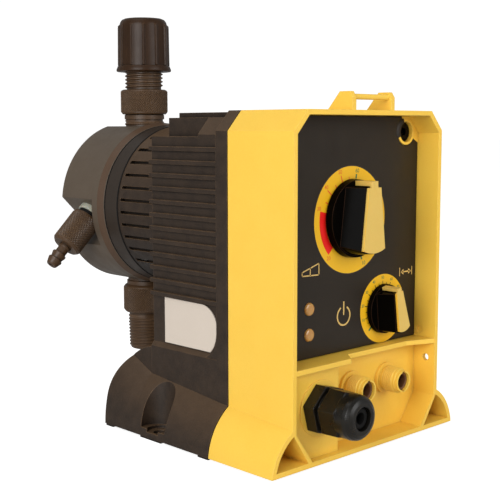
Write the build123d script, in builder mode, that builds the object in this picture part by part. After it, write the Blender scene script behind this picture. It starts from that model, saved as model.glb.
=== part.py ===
from build123d import *
from math import cos, radians, sin, sqrt
import os

os.makedirs("parts", exist_ok=True)

# Diaphragm metering pump. X runs across the pump, -Y is the control side, +Y the liquid end, +Z up.
# Origin: midway between the two base bolt holes, on the plane the feet stand on. Sizes in mm.

# ---- stations along the pump ------------------------------------------------------------------
FRONT_Y = -80.0          # front rim of the yellow cover
SPLIT_Y = -40.0          # joint between cover and rear housing
RIM_BACK_Y = -32.0       # back of the plain rim of the housing
BOX_BACK_Y = 15.0        # back of the ribbed box
DRUM_BACK_Y = 53.0       # end face of the round drum
RING_BACK_Y = 64.0       # face the pump head clamps on
HEAD_BACK_Y = 100.5      # outer end of the pump head
VALVE_Y = 83.0           # vertical line of the suction and discharge valves
AXIS_Z = 105.6           # height of the drive line, also the stroke dial centre

# ---- casing outline ---------------------------------------------------------------------------
CASE_W = 101.2           # over the flanks
CASE_TOP = 154.0
CORNER_X = 8.2           # chamfered top corners
CORNER_Z = 9.0
FOOT_W = 126.0           # over the feet
PAD_H = 1.0              # pads under the base
PAD_W = 16.8
PAD_X = FOOT_W / 2 - PAD_W / 2 - 0.4
FLARE_FRONT = 19.3       # height at which the flank starts to bow out, at the front rim
FLARE_SPLIT = 22.4       # the same at the cover joint
FLARE_BOX = 28.0         # the same at the back of the box
FLARE_TAIL = 38.5
WALL = 2.2
FIT = 0.05               # running or seating clearance on radius
GAP = 0.4                # clearance between neighbours that do not touch

# ---- front cover ------------------------------------------------------------------------------
PANEL_Y = -67.5          # face of the control panel, down in its recess
PANEL_T = 2.0
OVERLAY_T = 0.3
WEB_BACK_Y = -63.5       # back of the wall the panel lies on
SHELF_TOP = 44.8
SHELF_T = 2.2
GLAND_Y = -76.0          # face of the block that carries the cable gland
GLAND_X, GLAND_Z = -29.8, 24.9
BLOCK_RIGHT = -17.5
GLAND_BOSS_R, GLAND_BOSS_H = 12.5, 0.6
SOCKET_X = (0.0, 25.5)   # the two signal sockets
SOCKET_Z = 27.5
SOCKET_R = 6.0
SOCKET_BORE = 4.3
SOCKET_TIP = -79.2
SOCKET_FLOOR = -71.0
POCKET_DEPTH = 34.0      # triangular hollows in the front feet
SCREW_R = 2.0
TOP_SCREW = (CASE_W / 2 - 11.9, CASE_TOP - 9.7)
FOOT_SCREW = (FOOT_W / 2 - 11.6, 7.2)
POST_X = CASE_W / 2 - 10.6     # posts that carry the circuit board
POST_Z = (52.0, 128.0)
BOARD_Y = -52.0
BOARD_T = 1.6
BOSS_R = 6.1             # boss round the upper cover screw
SCREW_SEAT = PANEL_Y + 6.0     # depth its head sits at
EYE_X = 14.4             # outside of the hanging bracket
EYE_T = 2.4

# ---- controls ---------------------------------------------------------------------------------
STROKE_DIAL = (0.0, AXIS_Z)
RATE_DIAL = (23.1, 61.4)
STROKE_KNOB_R = 17.9
RATE_KNOB_R = 11.8
RATE_TURN = 13.0         # degrees the rate knob is turned from upright
SHAFT_R = 3.0
LENS = ((-28.0, 67.2), (-28.0, 55.7))
LENS_R = 2.95

# ---- rear housing -----------------------------------------------------------------------------
RIB_IN = 1.6             # how far the flank is set in behind the ribs
RIB_TOP = 137.7          # top of the highest rib
BOX_LOW = 44.0           # the flank sets in above this height
RIB_PITCH = 6.27
RIB_T = 1.95
RIBS = 12
LEDGE_Z = 142.3
TOP_BLOCK_HALF = CASE_W / 2 - CORNER_X
TOP_BLOCK_Z = CASE_TOP - 3.0
TAIL_TOP = 40.8          # where the tail of the base meets the box
TAIL_FOOT = 15.5         # height of the tail's upright back
SLOT_H, SLOT_DEPTH = 1.5, 3.0   # cooling slots round the drum
SLOT_TOP = 141.4
DRUM_R = 41.7
DRUM_BORE = 37.0
END_WALL_Y = 43.0        # inside face of the drum's end wall
TAIL_Y = 37.0            # rearmost line of the base
MOUNT_X = FOOT_W / 2 - 5.0     # base bolt holes, either side
MOUNT_R = 3.2
MOUNT_SEAT = 5.0         # floor of the hollow over each bolt hole
WASHER_R = 6.2           # sunk seat for the bolt's washer
WASHER_DEPTH = 1.5
ACCESS_R = 9.1           # upright hollow over each bolt hole
CAVITY_HALF = CASE_W / 2 - 4.6
CAVITY_LOW = 12.0
CAVITY_SHOULDER = LEDGE_Z - 2.3
CAVITY_TOP = TOP_BLOCK_Z - 2.4
CAVITY_BACK = 7.5
UNDER_HALF = 42.0        # hollow underside

# ---- liquid end -------------------------------------------------------------------------------
RING_R = 41.8
HEAD_R = 43.4
HEAD_FLAT_Z = 147.2
BOLT_CIRCLE = 38.0
BOLT_R = 2.4
DIAPHRAGM_R = 33.5
DIAPHRAGM_Y = 61.6
BUSH_R = 9.0
ROD_R = 5.0
PORT_R = 10.2            # screwed ends of both valves
PORT_TOP_Z = AXIS_Z + 23.4     # floor of the discharge port
PORT_LOW_Z = AXIS_Z - 27.6     # roof of the suction port
COLLAR_R = 12.5
BALL_R = 4.5
BALL_LIFT = 2.0
SEAT_BORE = 3.0
SEAT_T = 5.0
ORING_T = 2.0
COLLAR_LOW, COLLAR_HIGH = 153.7, 167.1     # knurled collar of the discharge valve
CAP_H = 29.0
CAP_LOW = COLLAR_HIGH + 9.8
CAP_TOP = CAP_LOW + CAP_H
SKIRT_R = 14.9           # lower rim of the cap
TUBE_R = 7.2             # mouth of the cap
BLEED_FLOOR = 28.0       # spot face of the bleed port, from the drive line
BLEED_SIDE = -23.0       # its centre line passes this far beside the drive line
BLEED_R = 7.8
BLEED_STEM = 3.6
SUCTION_HIGH, SUCTION_LOW = 59.1, 44.0     # knurled collar of the suction valve
PIPE_LENGTH = 19.1       # screwed end of the suction valve
PIPE_BORE = 6.2

FACE = Plane.XZ          # looked at from the control side, its normal is -Y
SIDE = Plane.YZ
DRIVE = Axis((0, 0, AXIS_Z), (0, 1, 0))
RISER = Axis((0, VALVE_Y, 0), (0, 0, 1))
VALVE_PLANE = FACE.offset(-VALVE_Y)
BALL_RISE = sqrt(BALL_R ** 2 - SEAT_BORE ** 2) + 0.02


def across(y):
    """Plane square to the drive line at station y, seen from the control side."""
    return FACE.offset(-y)


def bow(flare_z):
    """Mid point of the foot's outward bow, right-hand side."""
    swing = (FOOT_W - CASE_W) / 2
    return (CASE_W / 2 + 0.66 * swing, PAD_H + 0.6 * (flare_z - PAD_H))


def casing_outline(flare_z, top=CASE_TOP, corner_x=CORNER_X, corner_z=CORNER_Z):
    """Front-view outline of the casing: bowed feet, upright flanks, chamfered top corners."""
    half, foot = CASE_W / 2, FOOT_W / 2
    mid_x, mid_z = bow(flare_z)
    with BuildLine() as outline:
        Line((-foot, PAD_H), (foot, PAD_H))
        ThreePointArc((foot, PAD_H), (mid_x, mid_z), (half, flare_z))
        Polyline((half, flare_z), (half, top - corner_z), (half - corner_x, top),
                 (corner_x - half, top), (-half, top - corner_z), (-half, flare_z))
        ThreePointArc((-half, flare_z), (-mid_x, mid_z), (-foot, PAD_H))
    return outline.edges()


def cover_hollow(half, top, low=3.2):
    """Inside outline of the cover: the lower corners cut in above the feet."""
    with BuildLine() as outline:
        Polyline((-38.2, low), (38.2, low), (half, 17.0), (half, top - CORNER_Z),
                 (half - CORNER_X, top), (CORNER_X - half, top), (-half, top - CORNER_Z),
                 (-half, 17.0), close=True)
    return outline.edges()


def turned(points, plane=VALVE_PLANE, axis=RISER):
    """Solid of revolution from a closed (radius, height) outline."""
    with BuildPart() as piece:
        with BuildSketch(plane):
            with BuildLine():
                Polyline(*points, close=True)
            make_face()
        revolve(axis=axis)
    return piece


def turned_drive(points):
    """Solid of revolution about the drive line from a closed (station, radius) outline."""
    return turned([(y, AXIS_Z + r) for y, r in points], SIDE, DRIVE)


# ============================ front cover =======================================================
INNER_HALF = CASE_W / 2 - WALL
INNER_TOP = CASE_TOP - WALL
POSTS = [(side * POST_X, z) for side in (-1, 1) for z in POST_Z]
with BuildPart() as front_cover:
    with BuildSketch(across(FRONT_Y)):
        make_face(casing_outline(FLARE_FRONT))
    with BuildSketch(across(SPLIT_Y)):
        make_face(casing_outline(FLARE_SPLIT))
    loft(ruled=True)
    # recess over the control panel
    with BuildSketch(across(FRONT_Y)):
        with BuildLine():
            Polyline((-INNER_HALF, SHELF_TOP), (INNER_HALF, SHELF_TOP),
                     (INNER_HALF, INNER_TOP - CORNER_Z + 1), (INNER_HALF - CORNER_X + 1, INNER_TOP),
                     (CORNER_X - 1 - INNER_HALF, INNER_TOP), (-INNER_HALF, INNER_TOP - CORNER_Z + 1),
                     close=True)
        make_face()
    extrude(amount=-(PANEL_Y + PANEL_T - FRONT_Y), mode=Mode.SUBTRACT)
    # lower bay with the gland and the signal sockets
    with BuildSketch(across(FRONT_Y)):
        with BuildLine():
            Polyline((-38.2, 3.2), (38.2, 3.2), (INNER_HALF, 17.0),
                     (INNER_HALF, SHELF_TOP - SHELF_T), (-INNER_HALF, SHELF_TOP - SHELF_T),
                     (-INNER_HALF, 17.0), close=True)
        make_face()
    extrude(amount=-(PANEL_Y - FRONT_Y), mode=Mode.SUBTRACT)
    # the shelf's front edge steps back to the right of the gland
    with BuildSketch(Plane.XY.offset(SHELF_TOP - SHELF_T)):
        with BuildLine():
            Polyline((-13.5, FRONT_Y - 1), (-13.5, FRONT_Y), (-8.0, -73.2), (34.2, -73.8),
                     (INNER_HALF, FRONT_Y + 0.4), (INNER_HALF, FRONT_Y - 1), close=True)
        make_face()
    extrude(amount=SHELF_T, mode=Mode.SUBTRACT)
    # block behind the gland
    with BuildSketch(across(PANEL_Y)):
        with BuildLine():
            Polyline((-INNER_HALF, SHELF_TOP - SHELF_T), (-INNER_HALF, 17.0), (-38.2, 3.2),
                     (BLOCK_RIGHT, 3.2), (BLOCK_RIGHT, SHELF_TOP - SHELF_T), close=True)
        make_face()
    extrude(amount=PANEL_Y - GLAND_Y)
    with BuildSketch(across(GLAND_Y)):
        with Locations((GLAND_X, GLAND_Z)):
            Circle(GLAND_BOSS_R)
    extrude(amount=GLAND_BOSS_H)
    # inside, open to the back
    with BuildSketch(across(SPLIT_Y)):
        make_face(cover_hollow(INNER_HALF, INNER_TOP))
    extrude(amount=SPLIT_Y - WEB_BACK_Y, mode=Mode.SUBTRACT)
    with BuildSketch(across(WEB_BACK_Y)):
        with BuildLine():
            Polyline((-INNER_HALF + 3, 40.2), (-INNER_HALF + 3, 19.0), (-37.0, 6.0),
                     (BLOCK_RIGHT - 2.4, 6.0), (BLOCK_RIGHT - 2.4, 40.2), close=True)
        make_face()
    extrude(amount=WEB_BACK_Y - GLAND_Y - 2.6, mode=Mode.SUBTRACT)
    # triangular hollows in the feet, one wall away from the bay and from the outside
    bow_x, bow_z = bow(FLARE_FRONT)
    hollow_top = (INNER_HALF + 1.6, 17.0)
    hollow_foot = (FOOT_W / 2 - 2.6, 3.2)
    with BuildSketch(across(FRONT_Y)) as foot_hollow:
        with BuildLine():
            Polyline(hollow_top, (40.7, 3.2), hollow_foot)
            ThreePointArc(hollow_foot, (bow_x - 2.2, bow_z - 0.8), hollow_top)
        make_face()
        mirror(about=Plane.YZ)
    extrude(amount=-POCKET_DEPTH, mode=Mode.SUBTRACT)
    # signal sockets: a ring on the wall and a threaded tube
    with BuildSketch(across(PANEL_Y)):
        with Locations(*[(x, SOCKET_Z) for x in SOCKET_X]):
            Circle(SOCKET_R + 1.4)
    extrude(amount=1.4)
    for socket_x in SOCKET_X:
        with BuildSketch(Plane((socket_x, 0, 0), x_dir=(0, 1, 0), z_dir=(1, 0, 0))):
            with BuildLine():
                Polyline((PANEL_Y + 1, SOCKET_Z), (PANEL_Y + 1, SOCKET_Z + SOCKET_R - 0.5),
                         (SOCKET_TIP + 1.8, SOCKET_Z + SOCKET_R - 0.5),
                         (SOCKET_TIP + 1.6, SOCKET_Z + SOCKET_R - 0.9),
                         (SOCKET_TIP, SOCKET_Z + SOCKET_R - 0.9), (SOCKET_TIP, SOCKET_Z), close=True)
            make_face()
        revolve(axis=Axis((socket_x, 0, SOCKET_Z), (0, 1, 0)))
    with BuildSketch(across(FRONT_Y)):
        with Locations(*[(x, SOCKET_Z) for x in SOCKET_X]):
            Circle(SOCKET_BORE)
    extrude(amount=-(SOCKET_FLOOR - FRONT_Y), mode=Mode.SUBTRACT)
    # keyway inside each socket, cut from the mouth inwards
    with BuildSketch(across(SOCKET_TIP - 1)):
        for socket_x in SOCKET_X:
            with Locations((socket_x, SOCKET_Z + SOCKET_BORE), (socket_x, SOCKET_Z - SOCKET_BORE)):
                Rectangle(1.8, 1.0)
    extrude(amount=-4.0, mode=Mode.SUBTRACT)
    # boss for the upper screw, rising through the panel
    with BuildSketch(across(SPLIT_Y - 2)):
        with Locations(TOP_SCREW):
            Circle(BOSS_R)
    extrude(amount=SPLIT_Y - 2 - PANEL_Y + 0.6)
    with BuildSketch(across(FRONT_Y)):
        with Locations(TOP_SCREW):
            Circle(BOSS_R - 1.2)
    extrude(amount=-(SCREW_SEAT - FRONT_Y), mode=Mode.SUBTRACT)
    with BuildSketch(across(FRONT_Y)):
        with Locations(TOP_SCREW, FOOT_SCREW, (-FOOT_SCREW[0], FOOT_SCREW[1])):
            Circle(SCREW_R + 0.4)
    extrude(amount=FRONT_Y - SPLIT_Y, mode=Mode.SUBTRACT)
    # openings in the wall: gland, both shafts, both indicator lights
    with BuildSketch(across(FRONT_Y)):
        with Locations((GLAND_X, GLAND_Z)):
            Circle(7.6)
        with Locations(STROKE_DIAL):
            Circle(SHAFT_R + FIT)
        with Locations(RATE_DIAL):
            Circle(4.4)
        with Locations(*LENS):
            Circle(LENS_R + GAP)
    extrude(amount=-(SPLIT_Y - FRONT_Y), mode=Mode.SUBTRACT)
    # posts for the circuit board
    with BuildSketch(across(WEB_BACK_Y)):
        with Locations(*POSTS):
            Circle(3.2)
            Circle(1.25, mode=Mode.SUBTRACT)
    extrude(amount=-(BOARD_Y - WEB_BACK_Y))
    # drain hole through the right flank of the lower bay, and a blind dimple above the shelf
    with BuildSketch(SIDE.offset(CASE_W / 2 + 1)):
        with Locations((-74.6, 35.0)):
            Circle(1.7)
    extrude(amount=-(WALL + 2), mode=Mode.SUBTRACT)
    with BuildSketch(SIDE.offset(INNER_HALF + 0.7)):
        with Locations((-70.8, 48.4)):
            Circle(1.8)
    extrude(amount=-2, mode=Mode.SUBTRACT)
    # hanging bracket: two ears and a round bar
    with BuildSketch(SIDE.offset(-EYE_X)):
        with BuildLine():
            Polyline((FRONT_Y, CASE_TOP - 1), (FRONT_Y, CASE_TOP + 5.6), (-78.4, CASE_TOP + 8),
                     (-72.6, CASE_TOP + 8), (-65.6, CASE_TOP), (-65.6, CASE_TOP - 1), close=True)
        make_face()
    extrude(amount=2 * EYE_X)
    with BuildSketch(SIDE.offset(-EYE_X + EYE_T)):
        with BuildLine():
            Polyline((FRONT_Y - 1, CASE_TOP), (FRONT_Y - 1, CASE_TOP + 9), (-60, CASE_TOP + 9),
                     (-60, CASE_TOP), close=True)
        make_face()
    extrude(amount=2 * (EYE_X - EYE_T), mode=Mode.SUBTRACT)
    with BuildSketch(SIDE.offset(-EYE_X + 0.5)):
        with Locations((-77.6, CASE_TOP + 5.7)):
            Circle(1.25)
    extrude(amount=2 * EYE_X - 1)

# ============================ gasket between cover and housing ==================================
GASKET_T = 0.6
with BuildPart() as cover_gasket:
    with BuildSketch(across(SPLIT_Y)):
        make_face(cover_hollow(CASE_W / 2 - 0.7, CASE_TOP - 0.7, low=1.9))
        with BuildLine():
            Polyline((-38.1, 3.3), (38.1, 3.3), (INNER_HALF, 17.2), (INNER_HALF, INNER_TOP - CORNER_Z),
                     (INNER_HALF - CORNER_X, INNER_TOP), (CORNER_X - INNER_HALF, INNER_TOP),
                     (-INNER_HALF, INNER_TOP - CORNER_Z), (-INNER_HALF, 17.2), close=True)
        make_face(mode=Mode.SUBTRACT)
    extrude(amount=-GASKET_T)

# ============================ rear housing ======================================================
HOUSING_Y = SPLIT_Y + GASKET_T
flank = CASE_W / 2 - RIB_IN
with BuildPart() as rear_housing:
    # plain rim
    with BuildSketch(across(HOUSING_Y)):
        make_face(casing_outline(FLARE_SPLIT))
    with BuildSketch(across(RIM_BACK_Y)):
        make_face(casing_outline(FLARE_SPLIT + 0.6))
    loft(ruled=True)
    # base under the box: bowed feet, with a sloping ledge where the flank sets in
    with BuildSketch(across(RIM_BACK_Y)):
        make_face(casing_outline(FLARE_SPLIT + 0.6, BOX_LOW, RIB_IN, 2.0))
    with BuildSketch(across(BOX_BACK_Y)):
        make_face(casing_outline(FLARE_BOX, BOX_LOW, RIB_IN, 2.0))
    loft(ruled=True)
    # box
    with BuildSketch(across(RIM_BACK_Y)):
        with Locations((0, (LEDGE_Z + BOX_LOW - 1) / 2)):
            Rectangle(2 * flank, LEDGE_Z - BOX_LOW + 1)
    extrude(amount=-(BOX_BACK_Y - RIM_BACK_Y))
    with BuildSketch(across(RIM_BACK_Y)):
        with Locations((0, (TOP_BLOCK_Z + LEDGE_Z) / 2 - 1)):
            Rectangle(2 * TOP_BLOCK_HALF, TOP_BLOCK_Z - LEDGE_Z + 2)
        with Locations((0, TOP_BLOCK_Z)):
            Rectangle(72, 4.8)
    extrude(amount=-(9.9 - RIM_BACK_Y))
    # the chamfered corner runs on a little way behind the rim
    with BuildSketch(across(RIM_BACK_Y)):
        with BuildLine():
            Polyline((TOP_BLOCK_HALF - 1, LEDGE_Z - 1), (flank, LEDGE_Z - 1), (flank, LEDGE_Z + 1.1),
                     (TOP_BLOCK_HALF, TOP_BLOCK_Z), (TOP_BLOCK_HALF - 1, TOP_BLOCK_Z), close=True)
        make_face()
        mirror(about=Plane.YZ)
    extrude(amount=-(-18.5 - RIM_BACK_Y))
    # the tail of the base, rounded down to the back
    with BuildSketch(across(BOX_BACK_Y)):
        make_face(casing_outline(FLARE_BOX, TAIL_TOP, RIB_IN, TAIL_TOP - FLARE_BOX - 1))
    with BuildSketch(across(TAIL_Y)):
        make_face(casing_outline(FLARE_TAIL, TAIL_TOP, RIB_IN, TAIL_TOP - FLARE_TAIL - 1))
    loft(ruled=True)
    with BuildSketch(SIDE.offset(-FOOT_W)) as tail_waste:
        with BuildLine():
            EllipticalCenterArc((BOX_BACK_Y + 0.5, TAIL_FOOT), TAIL_Y - BOX_BACK_Y - 0.5,
                                TAIL_TOP - TAIL_FOOT - 0.2)
            Polyline((TAIL_Y, TAIL_FOOT), (TAIL_Y, 0), (TAIL_Y + 9, 0), (TAIL_Y + 9, TAIL_TOP + 9),
                     (BOX_BACK_Y + 0.5, TAIL_TOP + 9), (BOX_BACK_Y + 0.5, TAIL_TOP - 0.2))
        make_face()
    extrude(amount=2 * FOOT_W, mode=Mode.SUBTRACT)
    # drum with its level cooling slots
    with BuildSketch(across(BOX_BACK_Y)):
        with Locations((0, AXIS_Z)):
            Circle(DRUM_R)
    extrude(amount=-(DRUM_BACK_Y - BOX_BACK_Y))
    for k in range(RIBS - 1):
        slot_z = SLOT_TOP - k * RIB_PITCH
        reach = sqrt(DRUM_R ** 2 - (slot_z - AXIS_Z) ** 2)
        with BuildSketch(Plane.XY.offset(slot_z - SLOT_H / 2)):
            for side in (-1, 1):
                with Locations((side * (reach + 9 - SLOT_DEPTH), (BOX_BACK_Y + DRUM_BACK_Y) / 2 - 1.2)):
                    Rectangle(18, DRUM_BACK_Y - BOX_BACK_Y - 2.4)
        extrude(amount=SLOT_H, mode=Mode.SUBTRACT)
    # ribs on both flanks
    for k in range(RIBS):
        with BuildSketch(Plane.XY.offset(RIB_TOP - RIB_T - k * RIB_PITCH)):
            for side in (-1, 1):
                with Locations((side * (flank + RIB_IN / 2 - 0.5), (BOX_BACK_Y + RIM_BACK_Y) / 2 + 0.2)):
                    Rectangle(RIB_IN + 1, BOX_BACK_Y - RIM_BACK_Y + 0.4)
        extrude(amount=RIB_T)
    # rounded lower front corner of each set-in flank
    for side in (-1, 1):
        with BuildSketch(SIDE.offset(side * (flank - 0.5))):
            with BuildLine():
                Line((RIM_BACK_Y - 1, 42.4), (-25.0, 42.4))
                ThreePointArc((-25.0, 42.4), (-30.0, 47.4), (RIM_BACK_Y, 56.0))
                Polyline((RIM_BACK_Y, 56.0), (RIM_BACK_Y - 1, 56.0), (RIM_BACK_Y - 1, 42.4))
            make_face()
        extrude(amount=side * (RIB_IN + 0.5))
    # inside of the box, open to the front, and the bore for the magnet
    with BuildSketch(across(HOUSING_Y)):
        with Locations((0, (CAVITY_SHOULDER + CAVITY_LOW) / 2)):
            Rectangle(2 * CAVITY_HALF, CAVITY_SHOULDER - CAVITY_LOW)
        with Locations((0, (CAVITY_TOP + CAVITY_LOW) / 2)):
            Rectangle(2 * (TOP_BLOCK_HALF - WALL), CAVITY_TOP - CAVITY_LOW)
    extrude(amount=-(CAVITY_BACK - HOUSING_Y), mode=Mode.SUBTRACT)
    with BuildSketch(across(CAVITY_BACK - 1)):
        with Locations((0, AXIS_Z)):
            Circle(DRUM_BORE)
    extrude(amount=-(END_WALL_Y - CAVITY_BACK + 1), mode=Mode.SUBTRACT)
    with BuildSketch(across(END_WALL_Y - 1)):
        with Locations((0, AXIS_Z)):
            Circle(BUSH_R + FIT)
    extrude(amount=-(DRUM_BACK_Y - END_WALL_Y + 1), mode=Mode.SUBTRACT)
    with BuildSketch(across(DRUM_BACK_Y)):
        with Locations((0, AXIS_Z)):
            with PolarLocations(BOLT_CIRCLE, 4, start_angle=45):
                Circle(BOLT_R + FIT)
    extrude(amount=9.0, mode=Mode.SUBTRACT)
    # corner posts and holes for the cover screws
    with BuildSketch(across(HOUSING_Y)):
        with Locations(TOP_SCREW):
            Circle(BOSS_R)
    extrude(amount=-22.0)
    with BuildSketch(across(HOUSING_Y)):
        with Locations(TOP_SCREW, FOOT_SCREW, (-FOOT_SCREW[0], FOOT_SCREW[1])):
            Circle(SCREW_R + FIT)
    extrude(amount=-20.0, mode=Mode.SUBTRACT)
    # hollow underside
    with BuildSketch(Plane.XY.offset(PAD_H)):
        with Locations((0, -3)):
            Rectangle(2 * UNDER_HALF, 58)
    extrude(amount=8.0, mode=Mode.SUBTRACT)
    with BuildSketch(Plane.XY.offset(PAD_H)):
        with Locations((0, 25)):
            Rectangle(2 * UNDER_HALF, 16)
    extrude(amount=20.0, mode=Mode.SUBTRACT)
    # pads under the feet
    with BuildSketch(Plane.XY):
        for side in (-1, 1):
            with Locations((side * PAD_X, (HOUSING_Y - 32.4) / 2)):
                Rectangle(PAD_W, -32.4 - HOUSING_Y)
            with Locations((side * PAD_X, 1.6)):
                Rectangle(PAD_W, 15.4)
            with Locations((side * PAD_X, TAIL_Y - 3.2)):
                Rectangle(PAD_W, 5.6)
    extrude(amount=PAD_H + 0.2)
    # upright bolt hollows and bolt holes
    with BuildSketch(Plane.XY.offset(MOUNT_SEAT)):
        with Locations((MOUNT_X + 2.0, 0), (-MOUNT_X - 2.0, 0)):
            Circle(ACCESS_R)
    extrude(amount=32.0, mode=Mode.SUBTRACT)
    with BuildSketch(Plane.XY.offset(MOUNT_SEAT - WASHER_DEPTH)):
        with Locations((MOUNT_X, 0), (-MOUNT_X, 0)):
            Circle(WASHER_R)
    extrude(amount=WASHER_DEPTH + 0.1, mode=Mode.SUBTRACT)
    with BuildSketch(Plane.XY):
        with Locations((MOUNT_X, 0), (-MOUNT_X, 0)):
            Circle(MOUNT_R)
    extrude(amount=MOUNT_SEAT + 1, mode=Mode.SUBTRACT)

# ============================ rating plate on the left flank ====================================
with BuildPart() as rating_plate:
    with BuildSketch(SIDE.offset(-flank)):
        with BuildLine():
            Polyline((-26.6, BOX_LOW + 0.7), (5.8, BOX_LOW + 0.7), (5.8, BOX_LOW + 22.4),
                     (-20.5, BOX_LOW + 22.2))
            ThreePointArc((-20.5, BOX_LOW + 22.2), (-28.6, BOX_LOW + 18.4), (-31.2, BOX_LOW + 11.4))
            ThreePointArc((-31.2, BOX_LOW + 11.4), (-30.0, BOX_LOW + 5.4), (-26.6, BOX_LOW + 0.7))
        make_face()
    extrude(amount=-0.5)

# ============================ cover screws ======================================================
with BuildPart() as cover_screws:
    for seat_y, head_r, head_h, spots in (
            (SCREW_SEAT, BOSS_R - 1.6, 4.8, [TOP_SCREW]),
            (FRONT_Y + POCKET_DEPTH, 3.6, 2.6, [FOOT_SCREW, (-FOOT_SCREW[0], FOOT_SCREW[1])])):
        with BuildSketch(across(seat_y)):
            with Locations(*spots):
                Circle(head_r)
        extrude(amount=head_h)
        with BuildSketch(across(seat_y)):
            with Locations(*spots):
                Circle(SCREW_R)
        extrude(amount=-(HOUSING_Y + 18.0 - seat_y))
        with BuildSketch(across(seat_y - head_h)):
            with Locations(*spots):
                RegularPolygon(2.0, 6)
        extrude(amount=-1.8, mode=Mode.SUBTRACT)

# ============================ control panel =====================================================
def panel_face(clear, shaft_clear, lens_clear):
    """Face of the panel with its holes, drawn in the open sketch."""
    half, top, low = INNER_HALF - clear, INNER_TOP - clear, SHELF_TOP + clear
    with BuildLine() as outline:
        Polyline((-half, low), (half, low), (half, top - CORNER_Z + 1), (half - CORNER_X + 1, top),
                 (CORNER_X - 1 - half, top), (-half, top - CORNER_Z + 1), close=True)
    make_face(outline.edges())
    with Locations(TOP_SCREW):
        Circle(BOSS_R + GAP, mode=Mode.SUBTRACT)
    with Locations(STROKE_DIAL, RATE_DIAL):
        Circle(SHAFT_R + shaft_clear, mode=Mode.SUBTRACT)
    with Locations(*LENS):
        Circle(LENS_R + lens_clear, mode=Mode.SUBTRACT)


with BuildPart() as control_panel:
    with BuildSketch(across(PANEL_Y)):
        panel_face(0.3, 1.4, FIT)
    extrude(amount=-PANEL_T)

with BuildPart() as panel_overlay:
    with BuildSketch(across(PANEL_Y)):
        panel_face(0.6, 1.4, FIT)
    extrude(amount=OVERLAY_T)

LENS_TIP = PANEL_Y - 1.3
with BuildPart() as indicator_lenses:
    for lens_x, lens_z in LENS:
        with BuildSketch(Plane((lens_x, 0, 0), x_dir=(0, 1, 0), z_dir=(1, 0, 0))):
            with BuildLine():
                Polyline((-56.0, lens_z), (-56.0, lens_z + LENS_R), (LENS_TIP + 0.9, lens_z + LENS_R),
                         (LENS_TIP + 0.3, lens_z + LENS_R - 0.3), (LENS_TIP, lens_z + LENS_R - 0.9),
                         (LENS_TIP, lens_z), close=True)
            make_face()
        revolve(axis=Axis((lens_x, 0, lens_z), (0, 1, 0)))

# ============================ knobs =============================================================
def knob_frame(dial, turn):
    """Plane on the overlay at a dial centre, its up axis along the pointer."""
    a = radians(turn)
    return Plane((dial[0], PANEL_Y - OVERLAY_T - GAP, dial[1]), x_dir=(cos(a), 0, sin(a)),
                 z_dir=(0, -1, 0))


def knob_body(dial, turn, radius, height):
    """Round skirt with a wedge grip that is narrow at the pointer end."""
    k = radius / 17.9
    base = knob_frame(dial, turn)
    with BuildPart() as body:
        with BuildSketch(base):
            Circle(radius)
        extrude(amount=3.4 * k, taper=6)
        with BuildSketch(base.offset(2.6 * k)):
            with BuildLine():
                Polyline((12.4 * k, -11.6 * k), (9.0 * k, 14.4 * k), (-9.0 * k, 14.4 * k),
                         (-12.4 * k, -11.6 * k))
                ThreePointArc((-12.4 * k, -11.6 * k), (0, -16.6 * k), (12.4 * k, -11.6 * k))
            make_face()
        with BuildSketch(base.offset(height)):
            with BuildLine():
                Polyline((8.0 * k, -13.4 * k), (4.7 * k, 14.3 * k), (-4.7 * k, 14.3 * k),
                         (-8.0 * k, -13.4 * k))
                ThreePointArc((-8.0 * k, -13.4 * k), (0, -15.3 * k), (8.0 * k, -13.4 * k))
            make_face()
        loft(ruled=True)
        with BuildSketch(base):
            Circle(SHAFT_R + 0.02)
        extrude(amount=height - 2.5, mode=Mode.SUBTRACT)
    return body


def knob_insert(dial, turn, radius, height, slim=1.0):
    """Flat wedge on the grip's face, with a leg folded down over the grip's end as the pointer."""
    k = radius / 17.9
    wide, narrow = 7.6 * k * slim, 4.4 * k * slim
    base = knob_frame(dial, turn)
    with BuildPart() as insert:
        with BuildSketch(base.offset(height)):
            with BuildLine():
                Polyline((wide, -13.2 * k), (narrow, 14.3 * k), (-narrow, 14.3 * k),
                         (-wide, -13.2 * k))
                ThreePointArc((-wide, -13.2 * k), (0, -15.0 * k), (wide, -13.2 * k))
            make_face()
        extrude(amount=1.0)
        with BuildSketch(base.offset(height)):
            with Locations((0, 15.6 * k)):
                Rectangle(4.4 * k, 3.2 * k)
        extrude(amount=1.0)
        with BuildSketch(base.offset(3.4 * k + 0.02)):
            with Locations((0, 16.1 * k)):
                Rectangle(4.4 * k, 2.2 * k)
        extrude(amount=height - 3.4 * k)
    return insert


STROKE_H = 12.0
RATE_H = 10.4
stroke_knob = knob_body(STROKE_DIAL, 0, STROKE_KNOB_R, STROKE_H)
stroke_pointer = knob_insert(STROKE_DIAL, 0, STROKE_KNOB_R, STROKE_H)
rate_knob = knob_body(RATE_DIAL, RATE_TURN, RATE_KNOB_R, RATE_H)
rate_pointer = knob_insert(RATE_DIAL, RATE_TURN, RATE_KNOB_R, RATE_H, slim=0.82)

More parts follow.
